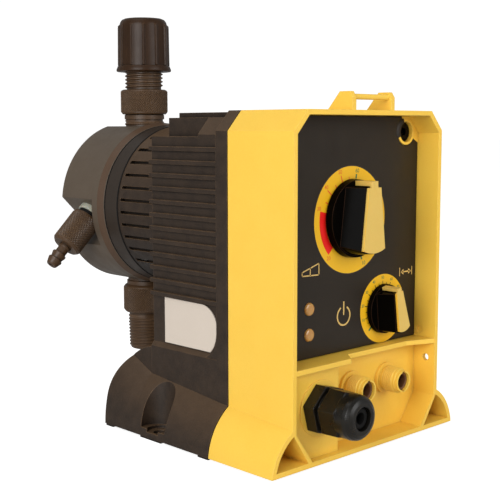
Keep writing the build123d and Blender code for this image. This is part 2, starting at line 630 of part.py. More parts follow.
# ============================ stroke adjuster ===================================================
SPINDLE_END = -6.5
STOP_BACK, STOP_FRONT = -15.0, -1.6
stroke_spindle = turned_drive([
    (-77.2, 0), (-77.2, SHAFT_R), (WEB_BACK_Y + 0.6, SHAFT_R), (WEB_BACK_Y + 0.6, 5.4),
    (WEB_BACK_Y + 2.5, 5.4), (WEB_BACK_Y + 2.5, SHAFT_R),
    (-19.0, SHAFT_R), (-18.0, 4.0), (SPINDLE_END - 0.6, 4.0), (SPINDLE_END, 3.4), (SPINDLE_END, 0)])
stroke_stop = turned_drive([
    (STOP_BACK, 4.0 + FIT), (STOP_BACK, 7.0), (STOP_FRONT, 7.0), (STOP_FRONT, 0), (-4.4, 0),
    (-4.4, 4.0 + FIT)])
stop_carrier = turned_drive([
    (-13.0, 7.0 + FIT), (-13.0, 20.0), (-3.0, 24.0), (-3.0, 19.0), (-9.0, 17.0), (-9.0, 7.0 + FIT)])

# ============================ circuit board =====================================================
BOARD_BACK = BOARD_Y + BOARD_T
with BuildPart() as circuit_board:
    with BuildSketch(across(BOARD_Y)):
        with Locations((0, (POST_Z[0] + POST_Z[1]) / 2)):
            Rectangle(2 * POST_X + 10, POST_Z[1] - POST_Z[0] + 16)
        with Locations((0, AXIS_Z)):
            Circle(6.5, mode=Mode.SUBTRACT)
        with Locations(*POSTS):
            Circle(1.6, mode=Mode.SUBTRACT)
    extrude(amount=-BOARD_T)

with BuildPart() as board_screws:
    with BuildSketch(across(BOARD_BACK)):
        with Locations(*POSTS):
            Circle(2.6)
    extrude(amount=-1.8)
    with BuildSketch(across(BOARD_BACK)):
        with Locations(*POSTS):
            Circle(1.2)
    extrude(amount=8.0)

with BuildPart() as board_parts:
    with BuildSketch(across(BOARD_BACK)):
        with Locations((-26, 60), (-26, 76)):
            Circle(6.3)
    extrude(amount=-17.0)
    with BuildSketch(across(BOARD_BACK)):
        with Locations((24, 84)):
            Rectangle(24, 20)
    extrude(amount=-14.0)
    with BuildSketch(across(BOARD_BACK)):
        with Locations((-20, 122), (4, 56)):
            Rectangle(18, 8)
    extrude(amount=-9.0)

with BuildPart() as rate_control:
    with BuildSketch(across(BOARD_Y)):
        with Locations(RATE_DIAL):
            Circle(8.0)
    extrude(amount=7.0)
    with BuildSketch(across(BOARD_Y - 7.0)):
        with Locations(RATE_DIAL):
            Circle(4.0)
    extrude(amount=-WEB_BACK_Y + BOARD_Y - 7.0 + 1.6)
    with BuildSketch(across(BOARD_Y - 1.5)):
        with Locations(RATE_DIAL):
            Circle(SHAFT_R + FIT)
    extrude(amount=30.0, mode=Mode.SUBTRACT)

with BuildPart() as rate_shaft:
    with BuildSketch(across(BOARD_Y - 2.0)):
        with Locations(RATE_DIAL):
            Circle(SHAFT_R)
    extrude(amount=BOARD_Y - 2.0 + 75.4)

# ============================ cable gland =======================================================
GLAND_AXIS = Axis((GLAND_X, 0, GLAND_Z), (0, 1, 0))
GLAND_SEAT = GLAND_Y - GLAND_BOSS_H


def gland_turned(points):
    """Solid of revolution about the gland's line from (station, radius) points."""
    plane = Plane((GLAND_X, 0, 0), x_dir=(0, 1, 0), z_dir=(1, 0, 0))
    return turned([(y, GLAND_Z + r) for y, r in points], plane, GLAND_AXIS)


HEX_R = 11.6
HEX_TURN = -15
with BuildPart() as gland_body:
    with BuildSketch(across(GLAND_SEAT)):
        with Locations((GLAND_X, GLAND_Z)):
            RegularPolygon(HEX_R, 6, rotation=HEX_TURN)
    extrude(amount=6.0)
    with BuildSketch(across(GLAND_SEAT - 6.0)):
        with Locations((GLAND_X, GLAND_Z)):
            Circle(8.4)
    extrude(amount=7.0)
    with BuildSketch(across(GLAND_SEAT)):
        with Locations((GLAND_X, GLAND_Z)):
            Circle(7.4)
    extrude(amount=-11.0)
    with BuildSketch(across(GLAND_SEAT + 11.0)):
        with Locations((GLAND_X, GLAND_Z)):
            Circle(5.4)
    extrude(amount=30.0, mode=Mode.SUBTRACT)

NUT_BACK = GLAND_SEAT - 8.2
NUT_FRONT = GLAND_SEAT - 24.2
with BuildPart() as gland_nut:
    with BuildSketch(across(NUT_BACK)):
        with Locations((GLAND_X, GLAND_Z)):
            RegularPolygon(HEX_R - 0.3, 6, rotation=HEX_TURN)
    extrude(amount=8.6, taper=1.5)
    with BuildSketch(Plane((GLAND_X, 0, 0), x_dir=(0, 1, 0), z_dir=(1, 0, 0))):
        with BuildLine():
            Polyline((NUT_BACK - 8.0, GLAND_Z), (NUT_BACK - 8.0, GLAND_Z + 9.9),
                     (NUT_FRONT + 3.6, GLAND_Z + 9.9), (NUT_FRONT + 1.9, GLAND_Z + 9.5),
                     (NUT_FRONT + 0.7, GLAND_Z + 8.5), (NUT_FRONT, GLAND_Z + 6.9), (NUT_FRONT, GLAND_Z),
                     close=True)
        make_face()
    revolve(axis=GLAND_AXIS)
    with BuildSketch(across(NUT_BACK)):
        with Locations((GLAND_X, GLAND_Z)):
            Circle(8.4 + FIT)
    extrude(amount=5.6, mode=Mode.SUBTRACT)
    with BuildSketch(across(NUT_BACK)):
        with Locations((GLAND_X, GLAND_Z)):
            Circle(5.2)
    extrude(amount=30.0, mode=Mode.SUBTRACT)

gland_seal = gland_turned([
    (GLAND_SEAT - 13.2, 2.6), (GLAND_SEAT - 13.2, 5.0), (NUT_FRONT + 2.2, 5.0), (NUT_FRONT + 1.6, 4.2),
    (NUT_FRONT + 1.6, 2.6)])

with BuildPart() as gland_locknut:
    with BuildSketch(across(GLAND_Y + 2.6)):
        with Locations((GLAND_X, GLAND_Z)):
            RegularPolygon(9.7, 6)
            Circle(7.4 + FIT, mode=Mode.SUBTRACT)
    extrude(amount=-4.2)

# contact pins at the bottom of the signal sockets
with BuildPart() as socket_pins:
    with BuildSketch(across(SOCKET_FLOOR)):
        for socket_x in SOCKET_X:
            with Locations((socket_x, SOCKET_Z)):
                with PolarLocations(2.1, 4, start_angle=45):
                    Circle(0.5)
    extrude(amount=3.4)

with BuildPart() as socket_inserts:
    with BuildSketch(across(SOCKET_FLOOR)):
        for socket_x in SOCKET_X:
            with Locations((socket_x, SOCKET_Z)):
                Circle(SOCKET_BORE - FIT)
                with PolarLocations(2.1, 4, start_angle=45):
                    Circle(0.5 + FIT, mode=Mode.SUBTRACT)
    extrude(amount=1.6)

# ============================ magnet drive ======================================================
COIL_FRONT, COIL_BACK = 4.0, 33.0
with BuildPart() as magnet_frame:
    with BuildSketch(across(-3.0)):
        with Locations((0, AXIS_Z)):
            Circle(DRUM_BORE - FIT)
    extrude(amount=-(END_WALL_Y + 3.0))
    with BuildSketch(across(-3.0)):
        with Locations((0, AXIS_Z)):
            Circle(13.7)
    extrude(amount=-5.0, mode=Mode.SUBTRACT)
    with BuildSketch(across(1.0)):
        with Locations((0, AXIS_Z)):
            Circle(32.6)
    extrude(amount=-(37.0 - 1.0), mode=Mode.SUBTRACT)
    with BuildSketch(across(36.0)):
        with Locations((0, AXIS_Z)):
            Circle(ROD_R + 0.5)
    extrude(amount=-10.0, mode=Mode.SUBTRACT)

coil_bobbin = turned_drive([
    (1.0, 13.7), (1.0, 32.0), (COIL_FRONT - 1, 32.0), (COIL_FRONT - 1, 15.4), (COIL_BACK + 2, 15.4),
    (COIL_BACK + 2, 32.0), (37.0, 32.0), (37.0, 13.7)])
coil_winding = turned_drive([
    (COIL_FRONT - 1, 15.4), (COIL_FRONT - 1, 30.4), (COIL_BACK + 2, 30.4), (COIL_BACK + 2, 15.4)])
armature = turned_drive([
    (-1.0, 0), (-1.0, 13.0), (27.0, 13.0), (27.0, ROD_R), (56.0, ROD_R), (56.0, 4.0), (61.0, 4.0),
    (61.0, 0)])
guide_bush = turned_drive([
    (END_WALL_Y, ROD_R + FIT), (END_WALL_Y, BUSH_R), (DRUM_BACK_Y, BUSH_R),
    (DRUM_BACK_Y, ROD_R + FIT)])

with BuildPart() as return_spring:
    with BuildLine() as coil_path:
        Helix(pitch=2.0, height=7.2, radius=7.6, center=(0, 27.9, AXIS_Z), direction=(0, 1, 0))
    with BuildSketch(Plane(coil_path.line @ 0, z_dir=coil_path.line % 0)):
        RegularPolygon(0.7, 6)
    sweep(is_frenet=True)

# ============================ liquid end ========================================================
with BuildPart() as spacer_ring:
    with BuildSketch(across(DRUM_BACK_Y)):
        with Locations((0, AXIS_Z)):
            Circle(RING_R)
            with PolarLocations(BOLT_CIRCLE, 4, start_angle=45):
                Circle(BOLT_R + 0.35, mode=Mode.SUBTRACT)
    extrude(amount=-(RING_BACK_Y - DRUM_BACK_Y))
    rims = spacer_ring.edges().filter_by(GeomType.CIRCLE).filter_by(lambda e: e.radius > 40)
    chamfer(rims, 0.6)
    with BuildSketch(across(DRUM_BACK_Y)):
        with Locations((0, AXIS_Z)):
            Circle(29.0)
    extrude(amount=-(RING_BACK_Y - DRUM_BACK_Y), mode=Mode.SUBTRACT)
    with BuildSketch(across(DIAPHRAGM_Y)):
        with Locations((0, AXIS_Z)):
            Circle(DIAPHRAGM_R + FIT)
    extrude(amount=-5.0, mode=Mode.SUBTRACT)

diaphragm = turned_drive([
    (56.0, 4.0 + 0.02), (56.0, 11.0), (58.4, 13.4), (61.4, 15.0), (61.4, 22.0), (60.6, 25.0),
    (61.6, 28.0), (DIAPHRAGM_Y, DIAPHRAGM_R), (RING_BACK_Y, DIAPHRAGM_R), (RING_BACK_Y, 28.0),
    (62.8, 25.0), (63.4, 22.0), (64.2, 15.0), (64.2, 0), (61.0, 0), (61.0, 4.02)])

bleed_axis = (-1 / sqrt(2), 0, -1 / sqrt(2))
bleed_origin = ((BLEED_SIDE - BLEED_FLOOR) / sqrt(2), VALVE_Y,
                AXIS_Z + (-BLEED_SIDE - BLEED_FLOOR) / sqrt(2))
bleed_plane = Plane(bleed_origin, x_dir=(0, 1, 0), z_dir=bleed_axis)
with BuildPart() as pump_head:
    with BuildSketch(across(RING_BACK_Y)):
        with Locations((0, AXIS_Z)):
            Circle(HEAD_R)
    extrude(amount=-(HEAD_BACK_Y - RING_BACK_Y))
    front_rim = pump_head.edges().filter_by(GeomType.CIRCLE).sort_by(Axis.Y)[0]
    chamfer(front_rim, 4.4, 1.5)
    # milled flat under the discharge valve
    with BuildSketch(Plane.XY.offset(HEAD_FLAT_Z)):
        with Locations((0, (RING_BACK_Y + HEAD_BACK_Y) / 2)):
            Rectangle(60, 60)
    extrude(amount=10.0, mode=Mode.SUBTRACT)
    # milled pocket round the bleed port, open to the outer end
    with BuildSketch(bleed_plane):
        with Locations((5.5, -4.0)):
            Rectangle(31.0, 30.0)
    extrude(amount=30.0, mode=Mode.SUBTRACT)
    with BuildSketch(bleed_plane):
        Circle(BLEED_STEM + FIT)
    extrude(amount=-12.0, mode=Mode.SUBTRACT)
    with BuildSketch(bleed_plane):
        Circle(1.5)
    extrude(amount=-24.0, mode=Mode.SUBTRACT)
    # dished chamber in front of the diaphragm
    with BuildSketch(SIDE):
        with BuildLine():
            Polyline((RING_BACK_Y - 1, AXIS_Z), (RING_BACK_Y - 1, AXIS_Z + 27.6),
                     (RING_BACK_Y, AXIS_Z + 27.6), (68.0, AXIS_Z + 15.0), (68.0, AXIS_Z), close=True)
        make_face()
    revolve(axis=DRIVE, mode=Mode.SUBTRACT)
    # suction and discharge ports with their passages
    with BuildSketch(Plane.XY.offset(PORT_TOP_Z)):
        with Locations((0, VALVE_Y)):
            Circle(PORT_R + FIT)
    extrude(amount=30.0, mode=Mode.SUBTRACT)
    with BuildSketch(Plane.XY.offset(PORT_LOW_Z)):
        with Locations((0, VALVE_Y)):
            Circle(PORT_R + FIT)
    extrude(amount=-30.0, mode=Mode.SUBTRACT)
    for low, high in ((PORT_LOW_Z - 1, AXIS_Z - 10), (AXIS_Z + 10, PORT_TOP_Z + 1)):
        with BuildSketch(Plane.XY.offset(low)):
            with Locations((0, VALVE_Y)):
                Circle(SEAT_BORE)
        extrude(amount=high - low, mode=Mode.SUBTRACT)
    with BuildSketch(across(66.0)):
        with Locations((0, AXIS_Z - 10), (0, AXIS_Z + 10)):
            Circle(SEAT_BORE)
    extrude(amount=-(VALVE_Y - 66.0), mode=Mode.SUBTRACT)
    # counterbored bolt holes
    with BuildSketch(across(RING_BACK_Y - 1)):
        with Locations((0, AXIS_Z)):
            with PolarLocations(BOLT_CIRCLE, 4, start_angle=45):
                Circle(BOLT_R + 0.35)
    extrude(amount=-(HEAD_BACK_Y - RING_BACK_Y + 2), mode=Mode.SUBTRACT)
    with BuildSketch(across(HEAD_BACK_Y - 7.0)):
        with Locations((0, AXIS_Z)):
            with PolarLocations(BOLT_CIRCLE, 4, start_angle=45):
                Circle(4.6)
    extrude(amount=-8.0, mode=Mode.SUBTRACT)

with BuildPart() as head_bolts:
    for quarter in range(4):
        a = radians(45 + 90 * quarter)
        bolt = (BOLT_CIRCLE * cos(a), AXIS_Z + BOLT_CIRCLE * sin(a))
        with BuildSketch(across(HEAD_BACK_Y - 7.0)):
            with Locations(bolt):
                Circle(4.2)
        extrude(amount=-5.0)
        with BuildSketch(across(HEAD_BACK_Y - 7.0)):
            with Locations(bolt):
                Circle(BOLT_R)
        extrude(amount=HEAD_BACK_Y - 7.0 - 45.0)
        with BuildSketch(across(HEAD_BACK_Y - 2.0)):
            with Locations(bolt):
                RegularPolygon(2.3, 6)
        extrude(amount=2.8, mode=Mode.SUBTRACT)

# ============================ discharge valve ===================================================
BODY_LOW = PORT_TOP_Z + SEAT_T + ORING_T
CHAMBER_R = BALL_R + 0.7
NIPPLE_TOP = CAP_TOP - 7.9
discharge_body = turned([
    (CHAMBER_R, BODY_LOW), (PORT_R, BODY_LOW), (PORT_R, HEAD_FLAT_Z + 3.8), (10.9, HEAD_FLAT_Z + 3.8),
    (10.9, COLLAR_LOW - 0.5), (10.4, COLLAR_LOW), (11.8, COLLAR_LOW), (COLLAR_R, COLLAR_LOW + 0.8),
    (COLLAR_R, COLLAR_HIGH - 0.5), (11.6, COLLAR_HIGH), (9.4, COLLAR_HIGH), (9.4, CAP_TOP - 15.9),
    (4.6, CAP_TOP - 15.9), (4.6, NIPPLE_TOP), (SEAT_BORE, NIPPLE_TOP + 1.0),
    (SEAT_BORE, BODY_LOW + 4.9 + BALL_LIFT), (CHAMBER_R, BODY_LOW + 3.5 + BALL_LIFT)])
discharge_seat = turned([
    (SEAT_BORE, PORT_TOP_Z), (PORT_R - 0.4, PORT_TOP_Z), (PORT_R - 0.4, PORT_TOP_Z + SEAT_T),
    (SEAT_BORE, PORT_TOP_Z + SEAT_T)])
discharge_oring = turned([
    (PORT_R - 2.8, PORT_TOP_Z + SEAT_T), (PORT_R - 0.5, PORT_TOP_Z + SEAT_T), (PORT_R - 0.5, BODY_LOW),
    (PORT_R - 2.8, BODY_LOW)])
with BuildPart() as discharge_ball:
    with Locations((0, VALVE_Y, PORT_TOP_Z + SEAT_T + BALL_RISE)):
        Sphere(BALL_R)

with BuildPart() as discharge_cap:
    with BuildSketch(VALVE_PLANE):
        with BuildLine():
            Polyline((TUBE_R, CAP_TOP - 0.6), (TUBE_R + 0.6, CAP_TOP), (10.4, CAP_TOP))
            ThreePointArc((10.4, CAP_TOP), (12.1, CAP_TOP - 1.5), (13.0, CAP_TOP - 5.2))
            Polyline((13.0, CAP_TOP - 5.2), (13.9, CAP_TOP - 6.4), (14.1, CAP_LOW + 4.3),
                     (SKIRT_R - 0.7, CAP_LOW + 3.9), (SKIRT_R, CAP_LOW + 0.4), (SKIRT_R - 0.3, CAP_LOW),
                     (10.6, CAP_LOW), (10.6, CAP_TOP - 11.7), (TUBE_R, CAP_TOP - 7.3),
                     (TUBE_R, CAP_TOP - 0.6))
        make_face()
    revolve(axis=RISER)
    # grip grooves
    for flute in range(12):
        a = radians(30 * flute)
        edge = Plane((0, VALVE_Y, CAP_LOW + 4.4), x_dir=(cos(a), sin(a), 0), z_dir=(0, 0, 1))
        with BuildSketch(edge):
            with Locations((14.4, 0)):
                Rectangle(2.6, 1.9)
        extrude(amount=CAP_H - 4.4 - 6.2, mode=Mode.SUBTRACT)
tube_ferrule = turned([
    (6.4, CAP_TOP - 15.3), (9.6, CAP_TOP - 15.3), (9.9, CAP_TOP - 13.3), (7.9, CAP_TOP - 9.5),
    (6.4, CAP_TOP - 9.5)])

# ============================ suction valve =====================================================
SUCTION_FLOOR = PORT_LOW_Z - ORING_T - 11.0
SUCTION_SEAT = SUCTION_FLOOR + 4.2
NPT_LOW = SUCTION_LOW - 1.8 - PIPE_LENGTH
suction_body = turned([
    (CHAMBER_R + 1.3, SUCTION_FLOOR), (CHAMBER_R + 1.3, PORT_LOW_Z - ORING_T),
    (PORT_R, PORT_LOW_Z - ORING_T), (PORT_R, SUCTION_HIGH + 2.9), (10.9, SUCTION_HIGH + 2.5),
    (10.9, SUCTION_HIGH + 0.5), (11.8, SUCTION_HIGH), (COLLAR_R, SUCTION_HIGH - 0.7),
    (COLLAR_R, SUCTION_LOW + 0.8), (11.8, SUCTION_LOW), (9.9, SUCTION_LOW - 0.4),
    (9.8, SUCTION_LOW - 1.8), (9.2, NPT_LOW + 0.5), (8.6, NPT_LOW), (PIPE_BORE, NPT_LOW),
    (PIPE_BORE, SUCTION_FLOOR - 7.0), (SEAT_BORE, SUCTION_FLOOR - 4.0), (SEAT_BORE, SUCTION_FLOOR)])
suction_seat = turned([
    (SEAT_BORE, SUCTION_FLOOR), (CHAMBER_R + 1.2, SUCTION_FLOOR), (CHAMBER_R + 1.2, SUCTION_SEAT),
    (SEAT_BORE, SUCTION_SEAT)])
suction_oring = turned([
    (PORT_R - 2.8, PORT_LOW_Z - ORING_T), (PORT_R - 0.5, PORT_LOW_Z - ORING_T),
    (PORT_R - 0.5, PORT_LOW_Z), (PORT_R - 2.8, PORT_LOW_Z)])
with BuildPart() as suction_ball:
    with Locations((0, VALVE_Y, SUCTION_SEAT + BALL_RISE)):
        Sphere(BALL_R)

# ============================ bleed valve =======================================================
with BuildPart() as bleed_valve:
    with BuildSketch(bleed_plane.offset(-11.0)):
        Circle(BLEED_STEM)
    extrude(amount=20.0)
    with BuildSketch(bleed_plane.offset(4.5)):
        Circle(BLEED_STEM + 2.0)
    extrude(amount=4.2)
    with BuildSketch(bleed_plane.offset(8.4)):
        Circle(BLEED_R)
    extrude(amount=16.4)
    body_rims = bleed_valve.edges().filter_by(GeomType.CIRCLE).filter_by(lambda e: e.radius > 7)
    chamfer(body_rims, 1.0)
    with BuildSketch(bleed_plane.offset(24.8)):
        Circle(3.3 + FIT)
    extrude(amount=-8.0, mode=Mode.SUBTRACT)
    with BuildSketch(bleed_plane.offset(-12.0)):
        Circle(1.4)
    extrude(amount=40.0, mode=Mode.SUBTRACT)

with BuildPart() as bleed_collar:
    with BuildSketch(bleed_plane):
        Circle(BLEED_STEM + 1.8)
        Circle(BLEED_STEM + FIT, mode=Mode.SUBTRACT)
    extrude(amount=4.2)

with BuildPart() as bleed_barb:
    # x of this plane lies across the nipple, so its outline is drawn as (height, radius)
    with BuildSketch(Plane(bleed_origin, x_dir=bleed_axis, z_dir=(1 / sqrt(2), 0, -1 / sqrt(2)))):
        with BuildLine():
            Polyline((17.0, 1.4), (17.0, 3.3), (26.0, 3.3), (26.4, 3.0), (29.8, 2.9), (30.0, 3.8),
                     (30.4, 3.9), (33.4, 3.0), (33.6, 3.8), (34.0, 3.9), (37.0, 2.9), (37.5, 2.5),
                     (37.5, 1.4), close=True)
        make_face()
    revolve(axis=Axis(bleed_origin, bleed_axis))

# ============================ write out =========================================================
pieces = {
    "front_cover": front_cover,
    "cover_gasket": cover_gasket,
    "rear_housing": rear_housing,
    "rating_plate": rating_plate,
    "cover_screws": cover_screws,
    "control_panel": control_panel,
    "panel_overlay": panel_overlay,
    "indicator_lenses": indicator_lenses,
    "stroke_knob": stroke_knob,
    "stroke_pointer": stroke_pointer,
    "rate_knob": rate_knob,
    "rate_pointer": rate_pointer,
    "stroke_spindle": stroke_spindle,
    "stroke_stop": stroke_stop,
    "stop_carrier": stop_carrier,
    "circuit_board": circuit_board,
    "board_screws": board_screws,
    "board_parts": board_parts,
    "rate_control": rate_control,
    "rate_shaft": rate_shaft,
    "gland_body": gland_body,
    "gland_nut": gland_nut,
    "gland_seal": gland_seal,
    "gland_locknut": gland_locknut,
    "socket_pins": socket_pins,
    "socket_inserts": socket_inserts,
    "magnet_frame": magnet_frame,
    "coil_bobbin": coil_bobbin,
    "coil_winding": coil_winding,
    "armature": armature,
    "guide_bush": guide_bush,
    "return_spring": return_spring,
    "spacer_ring": spacer_ring,
    "diaphragm": diaphragm,
    "pump_head": pump_head,
    "head_bolts": head_bolts,
    "discharge_body": discharge_body,
    "discharge_seat": discharge_seat,
    "discharge_oring": discharge_oring,
    "discharge_ball": discharge_ball,
    "discharge_cap": discharge_cap,
    "tube_ferrule": tube_ferrule,
    "suction_body": suction_body,
    "suction_seat": suction_seat,
    "suction_oring": suction_oring,
    "suction_ball": suction_ball,
    "bleed_valve": bleed_valve,
    "bleed_collar": bleed_collar,
    "bleed_barb": bleed_barb,
}
for label, piece in pieces.items():
    piece.part.label = label
    export_step(piece.part, f"parts/{label}.step")
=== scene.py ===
"""Looks of a diaphragm metering pump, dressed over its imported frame.

Every length that is written with MM is in millimetres of the pump's own frame:
the control panel faces -Y, the pump head points to +Y and +Z is up.
"""

import logging
import math
from collections.abc import Iterable, Sequence
from dataclasses import dataclass, field
from enum import Enum
from typing import ClassVar

import bmesh
import bpy
from mathutils import Matrix, Vector


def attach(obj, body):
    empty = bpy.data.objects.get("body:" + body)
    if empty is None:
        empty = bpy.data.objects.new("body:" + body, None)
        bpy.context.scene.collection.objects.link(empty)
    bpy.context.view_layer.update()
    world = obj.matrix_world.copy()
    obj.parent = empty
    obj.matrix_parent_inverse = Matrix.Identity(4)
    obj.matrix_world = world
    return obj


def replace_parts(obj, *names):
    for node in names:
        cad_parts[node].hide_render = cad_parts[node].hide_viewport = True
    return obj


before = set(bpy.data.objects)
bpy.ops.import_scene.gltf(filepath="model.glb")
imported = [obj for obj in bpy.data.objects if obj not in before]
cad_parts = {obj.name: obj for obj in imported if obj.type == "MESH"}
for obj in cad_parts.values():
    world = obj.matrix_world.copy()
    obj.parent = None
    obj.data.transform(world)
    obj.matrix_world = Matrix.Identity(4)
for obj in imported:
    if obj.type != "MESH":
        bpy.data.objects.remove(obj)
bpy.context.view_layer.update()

LOG = logging.getLogger("metering_pump")
Point = tuple[float, float, float]
Spot = tuple[float, float]
Colour = tuple[float, float, float, float]
Mesh = bmesh.types.BMesh
Rows = list[list[bmesh.types.BMVert]]
Tree = bpy.types.NodeTree
Socket = bpy.types.NodeSocket
Piece = bpy.types.Object

MM = 0.001
UP = (0.0, 0.0, 1.0)
DOWN = (0.0, 0.0, -1.0)
DRIVE = (0.0, 1.0, 0.0)         # line that the solenoid, the ring and the head are turned about
FRONT = (0.0, -1.0, 0.0)
DRIVE_Z = 105.6                 # height of that line
FILM_Y = -67.8                  # station of the panel's printed film
SMOOTH_ANGLE = math.radians(40)
PLAIN_STOPS = 96                # points round a piece without ribs
DIGIT_SIZE = 1.35               # font size for each unit of a digit's height

# How the finishes turn what a surface does into colour. Each pair runs from nothing to the full effect.
MOTTLE_SPAN = (0.75, 1.25)      # sum of the slow and the fine noise
# The edge test below sets both scuffs and painted edge highlights.
SCUFF_AND_HIGHLIGHT_TURN = (0.99, 0.80)      # cosine between a face and the rounded edge beside it
SHELTERED = (0.9, 0.3)          # how open a spot is
# Slopes at which the painted highlight on top and the painted shade below begin and are full.
FACES_UP = (0.2, 0.9)           # cosine between the surface and straight up
FACES_DOWN = (-0.2, -0.8)
UNDERSIDE_SHADE = 0.75
# Near-black colour of the painted shade in hollows and on faces that look down.
PAINTED_SHADE = "#050302"
NODE_SAMPLES = 6                # rays that find an edge or a hollow
PATCH_SPAN = (0.3, 0.7)         # noise that the patches of roughness lie between
PATCHES = 2.2                   # patches of roughness in one length of the mottling
LEAST_ROUGHNESS = 0.02
RELIEF_STRENGTH = 0.9
COAT_ROUGHNESS = 0.06
SKIN_DEPTH = (0.004, 0.002, 0.001)      # how far red, green and blue light run under the skin
SKIN_SCALE = 0.6


def linear(code: str) -> Colour:
    """Turn an sRGB hex colour into linear values.

    Args:
        code: Six hex digits with a leading hash.

    Returns:
        Linear red, green, blue and an alpha of one.
    """
    parts = [int(code[i:i + 2], 16) / 255 for i in (1, 3, 5)]
    red, green, blue = (p / 12.92 if p <= 0.04045 else ((p + 0.055) / 1.055) ** 2.4 for p in parts)
    return red, green, blue, 1.0


def add_node(
    tree: Tree, kind: str, inputs: dict[str | int, object] | None = None, **settings: object
) -> bpy.types.Node:
    """Add a shader node with its settings and links.

    Args:
        tree: Node tree that gets the node.
        kind: Blender's type name of the node.
        inputs: Socket name or number to a value, or to an output socket to link from.
        **settings: Properties of the node itself.

    Returns:
        The new node.
    """
    node = tree.nodes.new(kind)
    for name, value in settings.items():
        setattr(node, name, value)
    for name, value in (inputs or {}).items():
        if isinstance(value, Socket):
            tree.links.new(value, node.inputs[name])
        else:
            node.inputs[name].default_value = value
    return node


class Surface(Enum):
    """How a surface was made, which sets the pattern of its relief."""

    MOULDED = "moulded"
    TURNED = "turned"
    FILM = "film"
    WOUND = "wound"
    POLISHED = "polished"


